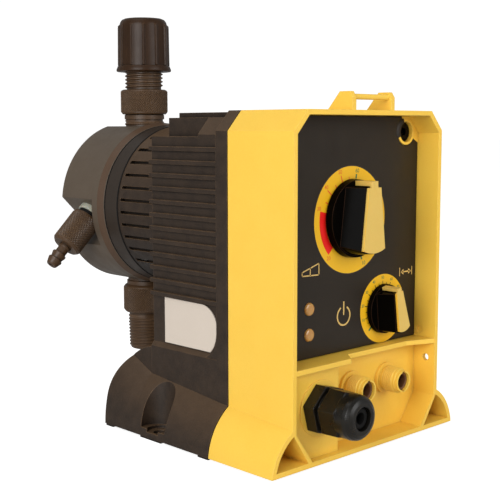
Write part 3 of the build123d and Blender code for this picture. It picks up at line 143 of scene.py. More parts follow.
@dataclass(frozen=True)
class Finish:
    """One real material with its surface.

    Attributes:
        name: Name of the Blender material.
        colour: Main colour as sRGB hex.
        shade: Second colour of the slow mottling.
        scuff_and_highlight_colour: Colour of scuffed edges with a painted highlight, and of the painted
            highlight on top.
        roughness: Middle of the roughness range.
        spread: Half the roughness range.
        metallic: One for metals.
        ior: Refraction index of plastics.
        grain: Width of one grain of the surface in mm. Moulding grain and tool lines are finer than a
            pixel in truth, so each is drawn as coarse as it needs to show.
        depth: Height of the relief in mm.
        mottle: Size of the slow mottling in mm.
        mix: Share of the second colour.
        edge: Radius in mm that softens the edges to the eye.
        scuff_and_highlight: How much the edges are scuffed and lit by a painted highlight.
        coat: Clear coat weight.
        surface: How the surface was made.
        subsurface: Share of light that goes through the skin.
        gloss: Specular level; half is plain plastic.
        hollow_shade: How much hollows and roots are darkened by painted shade.
        hollow: Size in mm of the hollows that take the painted shade.
        top_highlight: Painted highlight on faces that look up; where set, faces that look down get painted
            shade.
    """

    name: str
    colour: str
    shade: str
    scuff_and_highlight_colour: str
    roughness: float = 0.45
    spread: float = 0.06
    metallic: float = 0.0
    ior: float = 1.5
    grain: float = 0.6
    depth: float = 0.02
    mottle: float = 18.0
    mix: float = 0.35
    edge: float = 0.35
    scuff_and_highlight: float = 0.25
    coat: float = 0.0
    surface: Surface = Surface.MOULDED
    subsurface: float = 0.0
    gloss: float = 0.5
    hollow_shade: float = 0.3
    hollow: float = 2.2
    top_highlight: float = 0.0

    def build(self) -> bpy.types.Material:
        """Make the material, or hand back the one made before.

        Returns:
            The Blender material of this finish.
        """
        made = bpy.data.materials.get(self.name)
        if made is not None:
            return made
        material = bpy.data.materials.new(self.name)
        material.use_nodes = True
        tree = material.node_tree
        tree.nodes.clear()
        place = add_node(tree, "ShaderNodeTexCoord").outputs["Object"]
        bevel = add_node(tree, "ShaderNodeBevel", {"Radius": self.edge * MM}, samples=NODE_SAMPLES)
        shader = add_node(tree, "ShaderNodeBsdfPrincipled", {
            "Base Color": self.tint(tree, place, bevel),
            "Roughness": self.sheen(tree, place),
            "Normal": self.relief(tree, place, bevel.outputs[0]),
            "Metallic": self.metallic,
            "Coat Weight": self.coat,
            "Coat Roughness": COAT_ROUGHNESS,
            "Specular IOR Level": self.gloss,
            "Subsurface Weight": self.subsurface,
            "Subsurface Radius": SKIN_DEPTH,
            "Subsurface Scale": SKIN_SCALE,
        })
        if not self.metallic:
            shader.inputs["IOR"].default_value = self.ior
        add_node(tree, "ShaderNodeOutputMaterial", {"Surface": shader.outputs[0]})
        material.diffuse_color = linear(self.colour)
        return material

    def tint(self, tree: Tree, place: Socket, bevel: bpy.types.Node) -> Socket:
        """Colour: mottling, specks, scuffed edges with painted highlight, painted shade in hollows and below,
        highlight on top.

        Args:
            tree: Node tree of the material.
            place: Socket with the place on the object.
            bevel: Node with the rounded normal.

        Returns:
            Socket that carries the colour.
        """
        slow = add_node(tree, "ShaderNodeTexNoise", {
            "Vector": place, "Scale": 1 / (self.mottle * MM), "Detail": 3.0, "Roughness": 0.55})
        fine = add_node(tree, "ShaderNodeTexNoise", {
            "Vector": place, "Scale": 1 / (self.grain * MM), "Detail": 2.0})
        both = add_node(tree, "ShaderNodeMath", {0: slow.outputs[0], 1: fine.outputs[0]}, operation="ADD")
        share = add_node(tree, "ShaderNodeMapRange", {
            "Value": both.outputs[0], "From Min": MOTTLE_SPAN[0], "From Max": MOTTLE_SPAN[1],
            "To Min": 0.0, "To Max": self.mix})
        mixed = add_node(tree, "ShaderNodeMix", {
            0: share.outputs[0], 6: linear(self.colour), 7: linear(self.shade)}, data_type="RGBA")
        true_normal = add_node(tree, "ShaderNodeNewGeometry").outputs["True Normal"]
        turn = add_node(tree, "ShaderNodeVectorMath", {0: bevel.outputs[0], 1: true_normal},
                        operation="DOT_PRODUCT")
        # Rounded edges take a paler colour: partly scuffing, partly a painted highlight.
        edge_scuff_and_highlight = add_node(tree, "ShaderNodeMapRange", {
            "Value": turn.outputs["Value"], "From Min": SCUFF_AND_HIGHLIGHT_TURN[0], "From Max": SCUFF_AND_HIGHLIGHT_TURN[1],
            "To Min": 0.0, "To Max": self.scuff_and_highlight})
        patchy = add_node(tree, "ShaderNodeMath", {0: edge_scuff_and_highlight.outputs[0], 1: slow.outputs[0]},
                          operation="MULTIPLY")
        scuff_and_highlight_colour = add_node(tree, "ShaderNodeMix", {
            0: patchy.outputs[0], 6: mixed.outputs[2], 7: linear(self.scuff_and_highlight_colour)}, data_type="RGBA")
        # Painted shade: hollows that the occlusion rays find are darkened towards a near-black colour.
        hollow = add_node(tree, "ShaderNodeAmbientOcclusion", {"Distance": self.hollow * MM},
                          samples=NODE_SAMPLES)
        effects = [(hollow.outputs["AO"], SHELTERED, self.hollow_shade, PAINTED_SHADE)]
        # Painted highlight on faces that look up and painted shade on faces that look down, set by slope
        # alone.
        if self.top_highlight:
            upward = add_node(tree, "ShaderNodeVectorMath", {0: bevel.outputs[0], 1: UP},
                              operation="DOT_PRODUCT").outputs["Value"]
            effects += [(upward, FACES_UP, self.top_highlight, self.scuff_and_highlight_colour), (upward, FACES_DOWN, UNDERSIDE_SHADE, PAINTED_SHADE)]
        tinted = scuff_and_highlight_colour.outputs[2]
        for value, (none, full), most, colour in effects:
            share = add_node(tree, "ShaderNodeMapRange", {
                "Value": value, "From Min": none, "From Max": full, "To Min": 0.0, "To Max": most})
            tinted = add_node(tree, "ShaderNodeMix", {0: share.outputs[0], 6: tinted, 7: linear(colour)},
                              data_type="RGBA").outputs[2]
        return tinted

    def sheen(self, tree: Tree, place: Socket) -> Socket:
        """Roughness that varies in patches, as handled and moulded surfaces do.

        Args:
            tree: Node tree of the material.
            place: Socket with the place on the object.

        Returns:
            Socket that carries the roughness.
        """
        patches = add_node(tree, "ShaderNodeTexNoise", {
            "Vector": place, "Scale": PATCHES / (self.mottle * MM), "Detail": 4.0})
        span = add_node(tree, "ShaderNodeMapRange", {
            "Value": patches.outputs[0], "From Min": PATCH_SPAN[0], "From Max": PATCH_SPAN[1],
            "To Min": max(LEAST_ROUGHNESS, self.roughness - self.spread),
            "To Max": self.roughness + self.spread})
        return span.outputs[0]

    def relief(self, tree: Tree, place: Socket, normal: Socket) -> Socket:
        """Normal with the fine relief of the surface.

        Args:
            tree: Node tree of the material.
            place: Socket with the place on the object.
            normal: Socket with the rounded normal.

        Returns:
            Socket that carries the normal.
        """
        if self.surface in (Surface.TURNED, Surface.WOUND):
            across = add_node(tree, "ShaderNodeVectorMath", {0: place, 1: DRIVE},
                              operation="DOT_PRODUCT")
            lines = add_node(tree, "ShaderNodeTexNoise", {
                "W": across.outputs["Value"], "Scale": 1 / (self.grain * MM), "Detail": 2.0},
                noise_dimensions="1D")
            height = lines.outputs[0]
        else:
            grain = add_node(tree, "ShaderNodeTexNoise", {
                "Vector": place, "Scale": 1 / (self.grain * MM), "Detail": 2.5, "Roughness": 0.6})
            height = grain.outputs[0]
        bump = add_node(tree, "ShaderNodeBump", {
            "Height": height, "Distance": self.depth * MM, "Strength": RELIEF_STRENGTH,
            "Normal": normal})
        return bump.outputs[0]


# Yellow ABS, injection moulded: warm opaque skin with a fine spark-eroded grain and paler edges.
YELLOW_ABS = Finish("yellow_abs_moulded", "#F1C54C", "#ECBC40", "#F8DF9A", roughness=0.42, grain=0.7,
                    depth=0.012, mix=0.45, edge=0.35, scuff_and_highlight=0.3, subsurface=0.06, gloss=0.4, hollow_shade=0.12)
# Glass-filled PPO, black: dull brown-black with a dry grain; its edges turn tan, scuffed and painted as
# highlights.
# Its tops take a painted highlight, its hollows and undersides painted shade.
BLACK_PPO = Finish("black_glass_filled_ppo", "#261C14", "#3A2D22", "#A07C56", roughness=0.5, grain=0.55,
                   depth=0.08, mix=0.75, edge=0.35, scuff_and_highlight=0.9, gloss=0.3, hollow_shade=0.85, hollow=2.6,
                   mottle=6.0, top_highlight=0.16)
# Screen-printed polycarbonate film: near black, flat, with an even fine texture.
PANEL_FILM = Finish("panel_polycarbonate_film", "#241D15", "#2B2319", "#33291F", roughness=0.42, grain=0.35,
                    depth=0.01, mix=0.5, edge=0.1, scuff_and_highlight=0.0, surface=Surface.FILM, gloss=0.25, hollow_shade=0.2)
# Phenolic, compression moulded: deep black that gives back little light, with soft brown corners, scuffed and
# painted as highlights.
KNOB_PHENOLIC = Finish("black_phenolic_gloss", "#050403", "#080605", "#5A3C2A", roughness=0.16, spread=0.04,
                       grain=0.5, depth=0.004, edge=0.45, scuff_and_highlight=1.0, gloss=0.015)
# Cream nylon insert: warm, slightly see-through, satin.
INSERT_NYLON = Finish("cream_nylon_insert", "#DDB95E", "#D6AE4E", "#EBCF8A", roughness=0.35, grain=0.8,
                      depth=0.008, edge=0.3, scuff_and_highlight=0.3, subsurface=0.12, hollow_shade=0.2)
# The same nylon on the bevel, painted a stronger yellow as a painted highlight.
BRIGHT_NYLON = Finish("yellow_nylon_bevel", "#F0B838", "#EAB030", "#F4CB68", roughness=0.35, grain=0.8,
                      depth=0.008, edge=0.1, scuff_and_highlight=0.1, subsurface=0.12, hollow_shade=0.1)
# Polyamide gland: black and wet-looking, as moulded in a polished tool.
GLAND_POLYAMIDE = Finish("black_polyamide_gland", "#12100C", "#1A1611", "#3A3128", roughness=0.3,
                         spread=0.07, grain=0.9, depth=0.01, edge=0.6, scuff_and_highlight=0.35, gloss=0.3, hollow_shade=0.5)
# PVC rod, turned: dark grey-brown with faint tool lines round it.
TURNED_PVC = Finish("grey_pvc_turned", "#51463A", "#5B4F42", "#86755F", roughness=0.5, spread=0.08,
                    grain=0.8, depth=0.02, mix=0.55, edge=0.4, scuff_and_highlight=0.4, surface=Surface.TURNED, gloss=0.35,
                    hollow_shade=0.5)
# The head's chamfer: the same stock, browner, as a painted highlight where the chamfer catches light.
CHAMFER_HIGHLIGHT_PVC = Finish("brown_pvc_chamfer", "#4C392A", "#574231", "#7C6048", roughness=0.42, grain=0.5, depth=0.01,
                  mix=0.5, edge=0.2, scuff_and_highlight=0.3, surface=Surface.TURNED, gloss=0.35)
# The spacer ring, of the same stock but darker.
RING_PVC = Finish("dark_pvc_ring", "#2C241D", "#372D25", "#665443", roughness=0.48, grain=0.8, depth=0.02,
                  edge=0.35, scuff_and_highlight=0.4, surface=Surface.TURNED, gloss=0.3, hollow_shade=0.6)
# Moulded PVC fittings: brown and satin, with painted shade in the hollows.
FITTING_PVC = Finish("brown_pvc_fitting", "#46321F", "#523C29", "#8A6A4C", roughness=0.42, grain=0.6,
                     depth=0.02, mix=0.6, edge=0.25, scuff_and_highlight=0.55, gloss=0.35, hollow_shade=0.85)
# The cap, of the same PVC with more black in it: smoother; rib edges brown, scuffed and painted as
# highlights.
CAP_PVC = Finish("black_pvc_cap", "#2C1B0E", "#3A2614", "#86603E", roughness=0.36, grain=0.8, depth=0.015,
                 mix=0.5, edge=0.5, scuff_and_highlight=0.45, gloss=0.2, hollow_shade=0.85)
# Acetal collar: off-white with a waxy skin.
WHITE_ACETAL = Finish("white_acetal", "#C9C6BC", "#BDB9AE", "#DAD7CE", roughness=0.32, grain=0.9,
                      depth=0.006, subsurface=0.15)
# The bleed valve's sleeve: the same resin, natural and greenish with age.
FROSTED_ACETAL = Finish("natural_acetal_sleeve", "#A3A394", "#959586", "#C6C6B8", roughness=0.28, grain=0.9,
                        depth=0.006, scuff_and_highlight=0.4, subsurface=0.2)
# Diffusing lens: tan, waxy and softly glossy.
AMBER_LENS = Finish("amber_diffusing_lens", "#BC8A48", "#C4944F", "#D8B070", roughness=0.2, grain=0.8,
                    depth=0.004, edge=0.4, scuff_and_highlight=0.1, coat=0.4, subsurface=0.25)
# Vinyl rating plate: pale warm grey film, satin.
VINYL_LABEL = Finish("pale_vinyl_label", "#CFC3B6", "#C6B9AA", "#DAD0C4", roughness=0.38, grain=0.5,
                     depth=0.006, edge=0.08, scuff_and_highlight=0.1, surface=Surface.FILM)
# Neoprene: dead black and slightly dusty. Also laid as painted shade in gaps and in the bleed valve's neck.
NEOPRENE_AND_PAINTED_SHADE = Finish("black_neoprene", "#0C0B0A", "#141210", "#24211E", roughness=0.75, grain=0.4, depth=0.03,
                  edge=0.3, scuff_and_highlight=0.2, gloss=0.2)
# PTFE: chalky white, waxy.
PTFE = Finish("white_ptfe", "#ECEAE4", "#E2DFD8", "#F5F4F0", roughness=0.5, grain=0.8, depth=0.006,
              subsurface=0.2)
# Turned mild steel with zinc: grey with tool lines.
TURNED_STEEL = Finish("zinc_plated_steel", "#A9A7A2", "#938F88", "#D2D0CA", roughness=0.33, metallic=1.0,
                      grain=0.35, depth=0.008, edge=0.2, surface=Surface.TURNED)
# Black-oxide screw steel: dark, oily and fine-grained.
BLACKENED_STEEL = Finish("black_oxide_steel", "#161412", "#1E1B18", "#4A443E", roughness=0.45, metallic=1.0,
                         grain=0.4, depth=0.008, edge=0.2)
# The same PVC where it is knurled or threaded: pale points, scuffed and painted as highlights; painted shade
# in the roots.
KNURLED_PVC = Finish("brown_pvc_knurled", "#4E3927", "#5C4632", "#C49C70", roughness=0.4, grain=0.5,
                     depth=0.01, mix=0.6, edge=0.1, scuff_and_highlight=1.0, gloss=0.35, hollow_shade=0.97, hollow=1.2)
# Alumina ball: ivory and polished.
ALUMINA = Finish("polished_alumina", "#EFE9DC", "#E6DFD0", "#F8F4EC", roughness=0.12, ior=1.76, grain=0.5,
                 depth=0.002, surface=Surface.POLISHED)
# Enamelled copper wire: the turns show as fine rings.
WOUND_COPPER = Finish("enamelled_copper_wire", "#9A4A1E", "#7F3A16", "#C87A48", roughness=0.28,
                      metallic=1.0, grain=0.5, depth=0.12, surface=Surface.WOUND)
# Solder resist over glass cloth: dark green gloss.
SOLDER_RESIST = Finish("green_solder_resist", "#1E5B33", "#184B2A", "#3C7E50", roughness=0.25, grain=0.5,
                       depth=0.006, coat=0.3)
# Sintered bronze: dull gold with open pores.
BRONZE = Finish("sintered_bronze", "#B08A4E", "#96733C", "#D1B077", roughness=0.42, metallic=1.0,
                grain=0.3, depth=0.02)
# Component epoxy, matt black.
COMPONENT_EPOXY = Finish("black_component_epoxy", "#17171A", "#1F1F23", "#33333A", roughness=0.4,
                         grain=0.4, depth=0.01)
# Brown phenolic insulator at the bottom of the sockets: dull and slightly fibrous.
SOCKET_PHENOLIC = Finish("brown_socket_phenolic", "#6B4528", "#5E3B20", "#8A6240", roughness=0.5,
                         grain=0.3, depth=0.01)


def screen_ink(name: str, colour: str, shade: str, scuff_and_highlight_colour: str) -> Finish:
    """One printing ink of the panel film: flat, with a little tooth.

    Args:
        name: Name of the Blender material.
        colour: Main colour.
        shade: Colour where the ink lies thinner.
        scuff_and_highlight_colour: Colour of its edges.

    Returns:
        The ink's finish.
    """
    return Finish(name, colour, shade, scuff_and_highlight_colour, roughness=0.42, grain=0.4, depth=0.003, edge=0.02, scuff_and_highlight=0.0,
                  surface=Surface.FILM)


# Screen inks: flat colours that stand a hair proud of the film and catch the same light.
INK_YELLOW = screen_ink("yellow_screen_ink", "#ECB60C", "#E6AE04", "#F2C634")
INK_RED = screen_ink("red_screen_ink", "#E60A02", "#DC0802", "#EA2A1E")
INK_ORANGE = screen_ink("orange_screen_ink", "#E2571F", "#DB4F1A", "#E96A34")
INK_GREEN = screen_ink("green_screen_ink", "#1F6E45", "#1A653E", "#2C7B52")
INK_BLACK = screen_ink("black_screen_ink", "#231C14", "#2B231A", "#352C22")
INK_GOLD = screen_ink("pale_gold_screen_ink", "#D8B468", "#D0AB5E", "#E0BE76")


def dress(finish: Finish, *nodes: str) -> None:
    """Give CAD nodes their finish.

    Args:
        finish: Finish that they get.
        *nodes: Names of the nodes.
    """
    for node in nodes:
        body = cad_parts[node]
        body.data.materials.clear()
        body.data.materials.append(finish.build())
        LOG.info("dressed %s in %s", node, finish.name)


def piece_from(name: str, mesh: Mesh, finish: Finish, body: str,
               smooth: bool = True) -> Piece:
    """Turn a finished mesh into a piece that rides on a body.

    Args:
        name: Name of the piece.
        mesh: Mesh in metres of the pump's frame; it is used up.
        finish: Finish of the piece.
        body: Body it rides on.
        smooth: Whether its faces are shaded smooth up to 40 degrees.

    Returns:
        The piece.
    """
    bmesh.ops.recalc_face_normals(mesh, faces=mesh.faces)
    data = bpy.data.meshes.new(name)
    mesh.to_mesh(data)
    mesh.free()
    if smooth:
        data.shade_smooth()
        data.set_sharp_from_angle(angle=SMOOTH_ANGLE)
    data.materials.append(finish.build())
    piece = bpy.data.objects.new(name, data)
    bpy.context.collection.objects.link(piece)
    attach(piece, body)
    LOG.info("made %s on %s", name, body)
    return piece


def skin(mesh: Mesh, rows: Rows, closed: bool = False) -> None:
    """Lay four-sided faces between rows of points.

    Args:
        mesh: Mesh that the points belong to.
        rows: Rows with the same number of points each.
        closed: Whether each row joins up into a ring.
    """
    for near, far in zip(rows, rows[1:]):
        for j in range(len(near) - (not closed)):
            k = (j + 1) % len(near)
            mesh.faces.new((near[j], near[k], far[k], far[j]))


def square_axes(direction: Point) -> tuple[Vector, Vector, Vector]:
    """Unit vector along a direction, and two that are square to it and to each other.

    Args:
        direction: The direction, of any length.

    Returns:
        The three unit vectors.
    """
    axis = Vector(direction).normalized()
    side = axis.orthogonal().normalized()
    return axis, side, axis.cross(side)


@dataclass(frozen=True)
class SoftBox:
    """One square lamp.

    Attributes:
        name: Name of the lamp.
        place: Position in metres.
        size: Edge length in metres.
        power: Power in watts.
    """

    name: str
    place: Point
    size: float
    power: float


@dataclass
class Studio:
    """Camera, lights and floor.

    Attributes:
        place: Camera position.
        azimuth: Direction the camera looks from, degrees from -Y towards +X.
        elevation: Height of that direction over the horizon.
        roll: Tilt of the picture.
        lens: Focal length in mm.
        sensor: Width of the sensor in mm.
        floor_reach: Distance from the middle of the floor to its edges, in metres.
        floor_glow: Light that the camera sees the floor give.
        room_seen: Brightness of the room to the camera.
        room_lit: Brightness of the room to everything else.
        lamp_aim: Point that the lamps look at, in metres.
        lamps: The soft boxes.
    """

    place: Point = (-352.35, -368.54, 146.40)
    azimuth: float = -43.81
    elevation: float = 6.837
    roll: float = -0.066
    lens: float = 73.52
    sensor: float = 36.0
    floor_reach: float = 12.0
    floor_glow: float = 0.8
    room_seen: float = 1.05
    room_lit: float = 0.36
    lamp_aim: Point = (0.0, 0.0, 0.09)
    lamps: tuple[SoftBox, ...] = (
        SoftBox("key", (-1.05, -0.4, 0.42), 0.7, 10.3),
        SoftBox("front", (0.2, -1.1, 0.45), 0.7, 5.8),
        SoftBox("top", (-0.3, 0.1, 1.1), 0.6, 1.3),
    )

    def build(self) -> None:
        """Set up everything that isn't part of the pump."""
        bpy.context.scene.view_settings.view_transform = "Standard"
        self.aim_camera()
        self.lay_floor()
        self.light_room()
        for lamp in self.lamps:
            self.hang(lamp)

    def aim_camera(self) -> None:
        """Make the camera and point it."""
        data = bpy.data.cameras.new("camera")
        data.lens = self.lens
        data.sensor_width = self.sensor
        data.clip_start, data.clip_end = 0.01, 20.0
        camera = bpy.data.objects.new("camera", data)
        a, e = math.radians(self.azimuth), math.radians(self.elevation)
        back = Vector((math.sin(a) * math.cos(e), -math.cos(a) * math.cos(e), math.sin(e)))
        right = (-back).cross(Vector(UP)).normalized()
        up = back.cross(right)
        turn = Matrix((right, up, back)).transposed() @ Matrix.Rotation(math.radians(self.roll), 3, "Z")
        camera.matrix_world = Matrix.Translation(Vector(self.place) * MM) @ turn.to_4x4()
        bpy.context.collection.objects.link(camera)
        bpy.context.scene.camera = camera

    def lay_floor(self) -> None:
        """Make a wide white floor that looks brighter than the light it throws up on the pump."""
        mesh = bmesh.new()
        mesh.faces.new([mesh.verts.new((x * self.floor_reach, y * self.floor_reach, 0))
                        for x, y in ((-1, -1), (1, -1), (1, 1), (-1, 1))])
        data = bpy.data.meshes.new("floor")
        mesh.to_mesh(data)
        mesh.free()
        material = bpy.data.materials.new("white_light_table")
        material.use_nodes = True
        tree = material.node_tree
        tree.nodes.clear()
        glow = add_node(tree, "ShaderNodeBsdfPrincipled", {
            "Base Color": linear("#C8C8C8"), "Roughness": 0.9, "Emission Color": linear("#FFFFFF"),
            "Emission Strength": self.floor_glow})
        plain = add_node(tree, "ShaderNodeBsdfDiffuse", {"Color": linear("#D6D4D2")})
        path = add_node(tree, "ShaderNodeLightPath")
        both = add_node(tree, "ShaderNodeMixShader", {0: path.outputs["Is Camera Ray"], 1: plain.outputs[0],
                                                      2: glow.outputs[0]})
        add_node(tree, "ShaderNodeOutputMaterial", {"Surface": both.outputs[0]})
        data.materials.append(material)
        floor = bpy.data.objects.new("floor", data)
        bpy.context.collection.objects.link(floor)

    def light_room(self) -> None:
        """Make a white room that is dimmer than it looks."""
        world = bpy.data.worlds.new("studio")
        bpy.context.scene.world = world
        world.use_nodes = True
        tree = world.node_tree
        tree.nodes.clear()
        seen, lit = (add_node(tree, "ShaderNodeBackground", {"Color": linear("#FFFFFF"), "Strength": light})
                     for light in (self.room_seen, self.room_lit))
        path = add_node(tree, "ShaderNodeLightPath")
        both = add_node(tree, "ShaderNodeMixShader", {0: path.outputs["Is Camera Ray"], 1: lit.outputs[0],
                                                      2: seen.outputs[0]})
        add_node(tree, "ShaderNodeOutputWorld", {"Surface": both.outputs[0]})

    def hang(self, box: SoftBox) -> None:
        """Hang one lamp that looks at the pump.

        Args:
            box: The lamp.
        """
        data = bpy.data.lights.new(box.name, "AREA")
        data.size = box.size
        data.energy = box.power
        lamp = bpy.data.objects.new(box.name, data)
        lamp.location = box.place
        aim = Vector(self.lamp_aim) - Vector(box.place)
        lamp.rotation_euler = aim.to_track_quat("-Z", "Y").to_euler()
        bpy.context.collection.objects.link(lamp)


@dataclass
class InkLayer:
    """One pull of one ink on the panel film, which looks along -Y.

    Attributes:
        level: How many thicknesses of ink it stands proud of the film.
        station: Y of the film.
        thickness: Thickness of one pull.
        mesh: Shapes drawn so far.
    """

    level: int = 1
    station: float = FILM_Y
    thickness: float = 0.04
    mesh: Mesh = field(default_factory=bmesh.new)

    def height(self) -> float:
        """Y of the ink's face in metres."""
        return (self.station - self.thickness * self.level) * MM

    def polygon(self, outline: Iterable[Spot]) -> None:
        """Draw a filled outline.

        Args:
            outline: Points as (x, z).
        """
        y = self.height()
        self.mesh.faces.new([self.mesh.verts.new((x * MM, y, z * MM)) for x, z in outline])

    def ring(self, centre: Spot, inner: float, outer: float, start: float = 0.0,
             sweep: float = 360.0) -> None:
        """Draw a ring or a part of one, clockwise from twelve o'clock.

        Args:
            centre: Centre as (x, z).
            inner: Inner radius.
            outer: Outer radius.
            start: Clock angle of the start, in degrees.
            sweep: Degrees it runs clockwise.
        """
        steps = max(2, int(sweep / 4))
        for i in range(steps):
            a, b = (math.radians(start + sweep * j / steps) for j in (i, i + 1))
            self.polygon([(centre[0] + r * math.sin(t), centre[1] + r * math.cos(t))
                          for r, t in ((inner, a), (outer, a), (outer, b), (inner, b))])

    def tick(self, centre: Spot, clock: float, inner: float, outer: float, width: float) -> None:
        """Draw one scale mark that points to the centre.

        Args:
            centre: Centre of the dial as (x, z).
            clock: Clock angle in degrees.
            inner: Radius of its inner end.
            outer: Radius of its outer end.
            width: Width of the mark.
        """
        t = math.radians(clock)
        ray, side = (math.sin(t), math.cos(t)), (math.cos(t), -math.sin(t))
        self.polygon([
            (centre[0] + ray[0] * r + side[0] * w, centre[1] + ray[1] * r + side[1] * w)
            for r, w in ((inner, -width / 2), (outer, -width / 2), (outer, width / 2), (inner, width / 2))])

    def stroke(self, points: Sequence[Spot], width: float) -> None:
        """Draw a line of constant width along points.

        Args:
            points: Points as (x, z).
            width: Width of the line.
        """
        for (x0, z0), (x1, z1) in zip(points, points[1:]):
            run = math.hypot(x1 - x0, z1 - z0)
            ux, uz = (x1 - x0) / run, (z1 - z0) / run
            h = width / 2
            self.polygon([
                (x0 - ux * h - uz * h, z0 - uz * h + ux * h), (x1 + ux * h - uz * h, z1 + uz * h + ux * h),
                (x1 + ux * h + uz * h, z1 + uz * h - ux * h), (x0 - ux * h + uz * h, z0 - uz * h - ux * h)])

    def number(self, text: str, centre: Spot, clock: float, radius: float, height: float = 1.9) -> None:
        """Print a plain number upright at a clock angle of a dial.

        Args:
            text: The digits.
            centre: Centre of the dial as (x, z).
            clock: Clock angle in degrees.
            radius: Radius of the number's centre.
            height: Height of the digits.
        """
        data = bpy.data.curves.new("digits", "FONT")
        data.body = text
        data.size = height * MM * DIGIT_SIZE
        data.align_x, data.align_y = "CENTER", "CENTER"
        data.resolution_u = 3
        holder = bpy.data.objects.new("digits", data)
        bpy.context.collection.objects.link(holder)
        bpy.context.view_layer.update()
        flat = bpy.data.meshes.new_from_object(holder.evaluated_get(bpy.context.evaluated_depsgraph_get()))
        t = math.radians(clock)
        x, z = centre[0] + radius * math.sin(t), centre[1] + radius * math.cos(t)
        flat.transform(Matrix.Translation((x * MM, self.height(), z * MM))
                       @ Matrix.Rotation(math.radians(90), 4, "X"))
        self.mesh.from_mesh(flat)
        bpy.data.objects.remove(holder)
        bpy.data.curves.remove(data)
        bpy.data.meshes.remove(flat)

    def finish(self, name: str, ink: Finish) -> None:
        """Turn the layer into a piece on the pump.

        Args:
            name: Name of the piece.
            ink: Finish of the ink.
        """
        piece_from(name, self.mesh, ink, "pump", smooth=False)


@dataclass
class RoundPiece:
    """A piece that runs round an axis.

    Attributes:
        name: Name of the piece.
        base: Centre of the end that its heights count from.
        axis: Direction it runs in.
        closed: Whether its rows join up into rings.
        smooth: Whether it is shaded smooth.
    """

    name: str
    base: Point
    axis: Point
    closed: ClassVar[bool] = True
    smooth: ClassVar[bool] = True

    def build(self, finish: Finish, body: str, slot: str) -> Piece:
        """Make the piece.

        Args:
            finish: Finish of the piece.
            body: Body it rides on.
            slot: Not used.

        Returns:
            The piece.
        """
        mesh = bmesh.new()
        self.cover(mesh, self.rows(mesh))
        return piece_from(self.name, mesh, finish, body, self.smooth)

    def rows(self, mesh: Mesh) -> Rows:
        """Place the rows of points that the skin hangs on.

        Args:
            mesh: Mesh that gets the points.

        Returns:
            The rows.
        """
        raise NotImplementedError

    def cover(self, mesh: Mesh, rows: Rows) -> None:
        """Lay the skin over the rows.

        Args:
            mesh: Mesh that gets the faces.
            rows: Its rows of points.
        """
        skin(mesh, rows, self.closed)


@dataclass
class Turned(RoundPiece):
    """A turned or moulded round piece, with upright ribs if it has any.

    Attributes:
        outline: Its (radius, height) points, from one end to the other.
        ribs: Narrow ribs round it.
        rib_rise: How far a rib stands out.
        rib_width: Width of a rib.
        rib_span: Lowest and highest point of the ribs.
        first: Angle of the first rib from +X, in degrees.
    """

    outline: Sequence[Spot]
    ribs: int = 0
    rib_rise: float = 0.0
    rib_width: float = 1.0
    rib_span: Spot = (0.0, 0.0)
    first: float = 0.0

    def rows(self, mesh: Mesh) -> Rows:
        """Place one ring of points for each point of the outline, as RoundPiece.rows says."""
        axis, side, other = square_axes(self.axis)
        # Ribs count from +X, unless the axis leans towards it.
        if abs(axis.x) < 0.5:
            side = Vector((1.0, 0.0, 0.0))
            other = axis.cross(side)
        low, high = self.rib_span
        rings = []
        for radius, height in self.outline:
            centre = Vector(self.base) + axis * height
            rise = self.rib_rise if low <= height <= high else 0.0
            ring = []
            for a, share in self.stops():
                spot = (side * math.cos(a) + other * math.sin(a)) * (radius + rise * share)
                ring.append(mesh.verts.new((centre + spot) * MM))
            rings.append(ring)
        return rings

    def stops(self) -> list[Spot]:
        """Angles round the piece, each with the share of a rib that it carries."""
        if not self.ribs:
            return [(2 * math.pi * j / PLAIN_STOPS, 0.0) for j in range(PLAIN_STOPS)]
        pitch = 2 * math.pi / self.ribs
        half = self.rib_width / 2 / max(r for r, _ in self.outline)
        foot, crown = half * 1.3, half * 0.7
        stops = []
        for i in range(self.ribs):
            middle = math.radians(self.first) + i * pitch
            stops += [(middle + turn, share) for turn, share in (
                (-foot, 0.0), (-crown, 1.0), (crown, 1.0), (foot, 0.0))]
            stops += [(middle + foot + (pitch - 2 * foot) * t / 6, 0.0) for t in range(1, 6)]
        return stops


@dataclass
class Knurl(RoundPiece):
    """A sleeve of diamond knurling round a cylinder, made of small pyramids.

    Attributes:
        length: Length along the axis.
        radius: Radius of the valleys.
        height: Height of the pyramids.
        count: Pyramids in one row round it.
        fade: Length over which the pyramids sink away at both ends.
        sink: How far the ends dip under the cylinder.
    """

    length: float
    radius: float
    height: float
    count: int
    fade: float = 0.5
    sink: float = 0.2
    smooth: ClassVar[bool] = False

    def rows(self, mesh: Mesh) -> Rows:
        """Place rings whose points stand out in turn, as RoundPiece.rows says."""
        around = self.count * 2
        steps = 2 * round(self.length * self.count / (2 * math.pi * self.radius))
        axis, side, other = square_axes(self.axis)
        rings = []
        for i in range(steps + 1):
            t = i / steps
            full = min(1.0, min(t, 1 - t) * self.length / self.fade)
            centre = Vector(self.base) + axis * self.length * t
            ring = []
            for j in range(around):
                peak = self.height * ((i + j) % 2 == 0)
                r = self.radius + peak * full - self.sink * (1 - full)
                a = 2 * math.pi * j / around
                ring.append(mesh.verts.new((centre + (side * math.cos(a) + other * math.sin(a)) * r) * MM))
            rings.append(ring)
        return rings

    def cover(self, mesh: Mesh, rows: Rows) -> None:
        """Lay two triangles in each square so that the ridges run between the peaks.

        Args:
            mesh: Mesh that gets the faces.
            rows: Its rings of points.
        """
        for i, (low, high) in enumerate(zip(rows, rows[1:])):
            for j in range(len(low)):
                k = (j + 1) % len(low)
                upper, lower = (high[j], low[k]) if (i + j) % 2 == 0 else (high[k], low[j])
                mesh.faces.new((low[j], low[k], upper))
                mesh.faces.new((lower, high[k], high[j]))


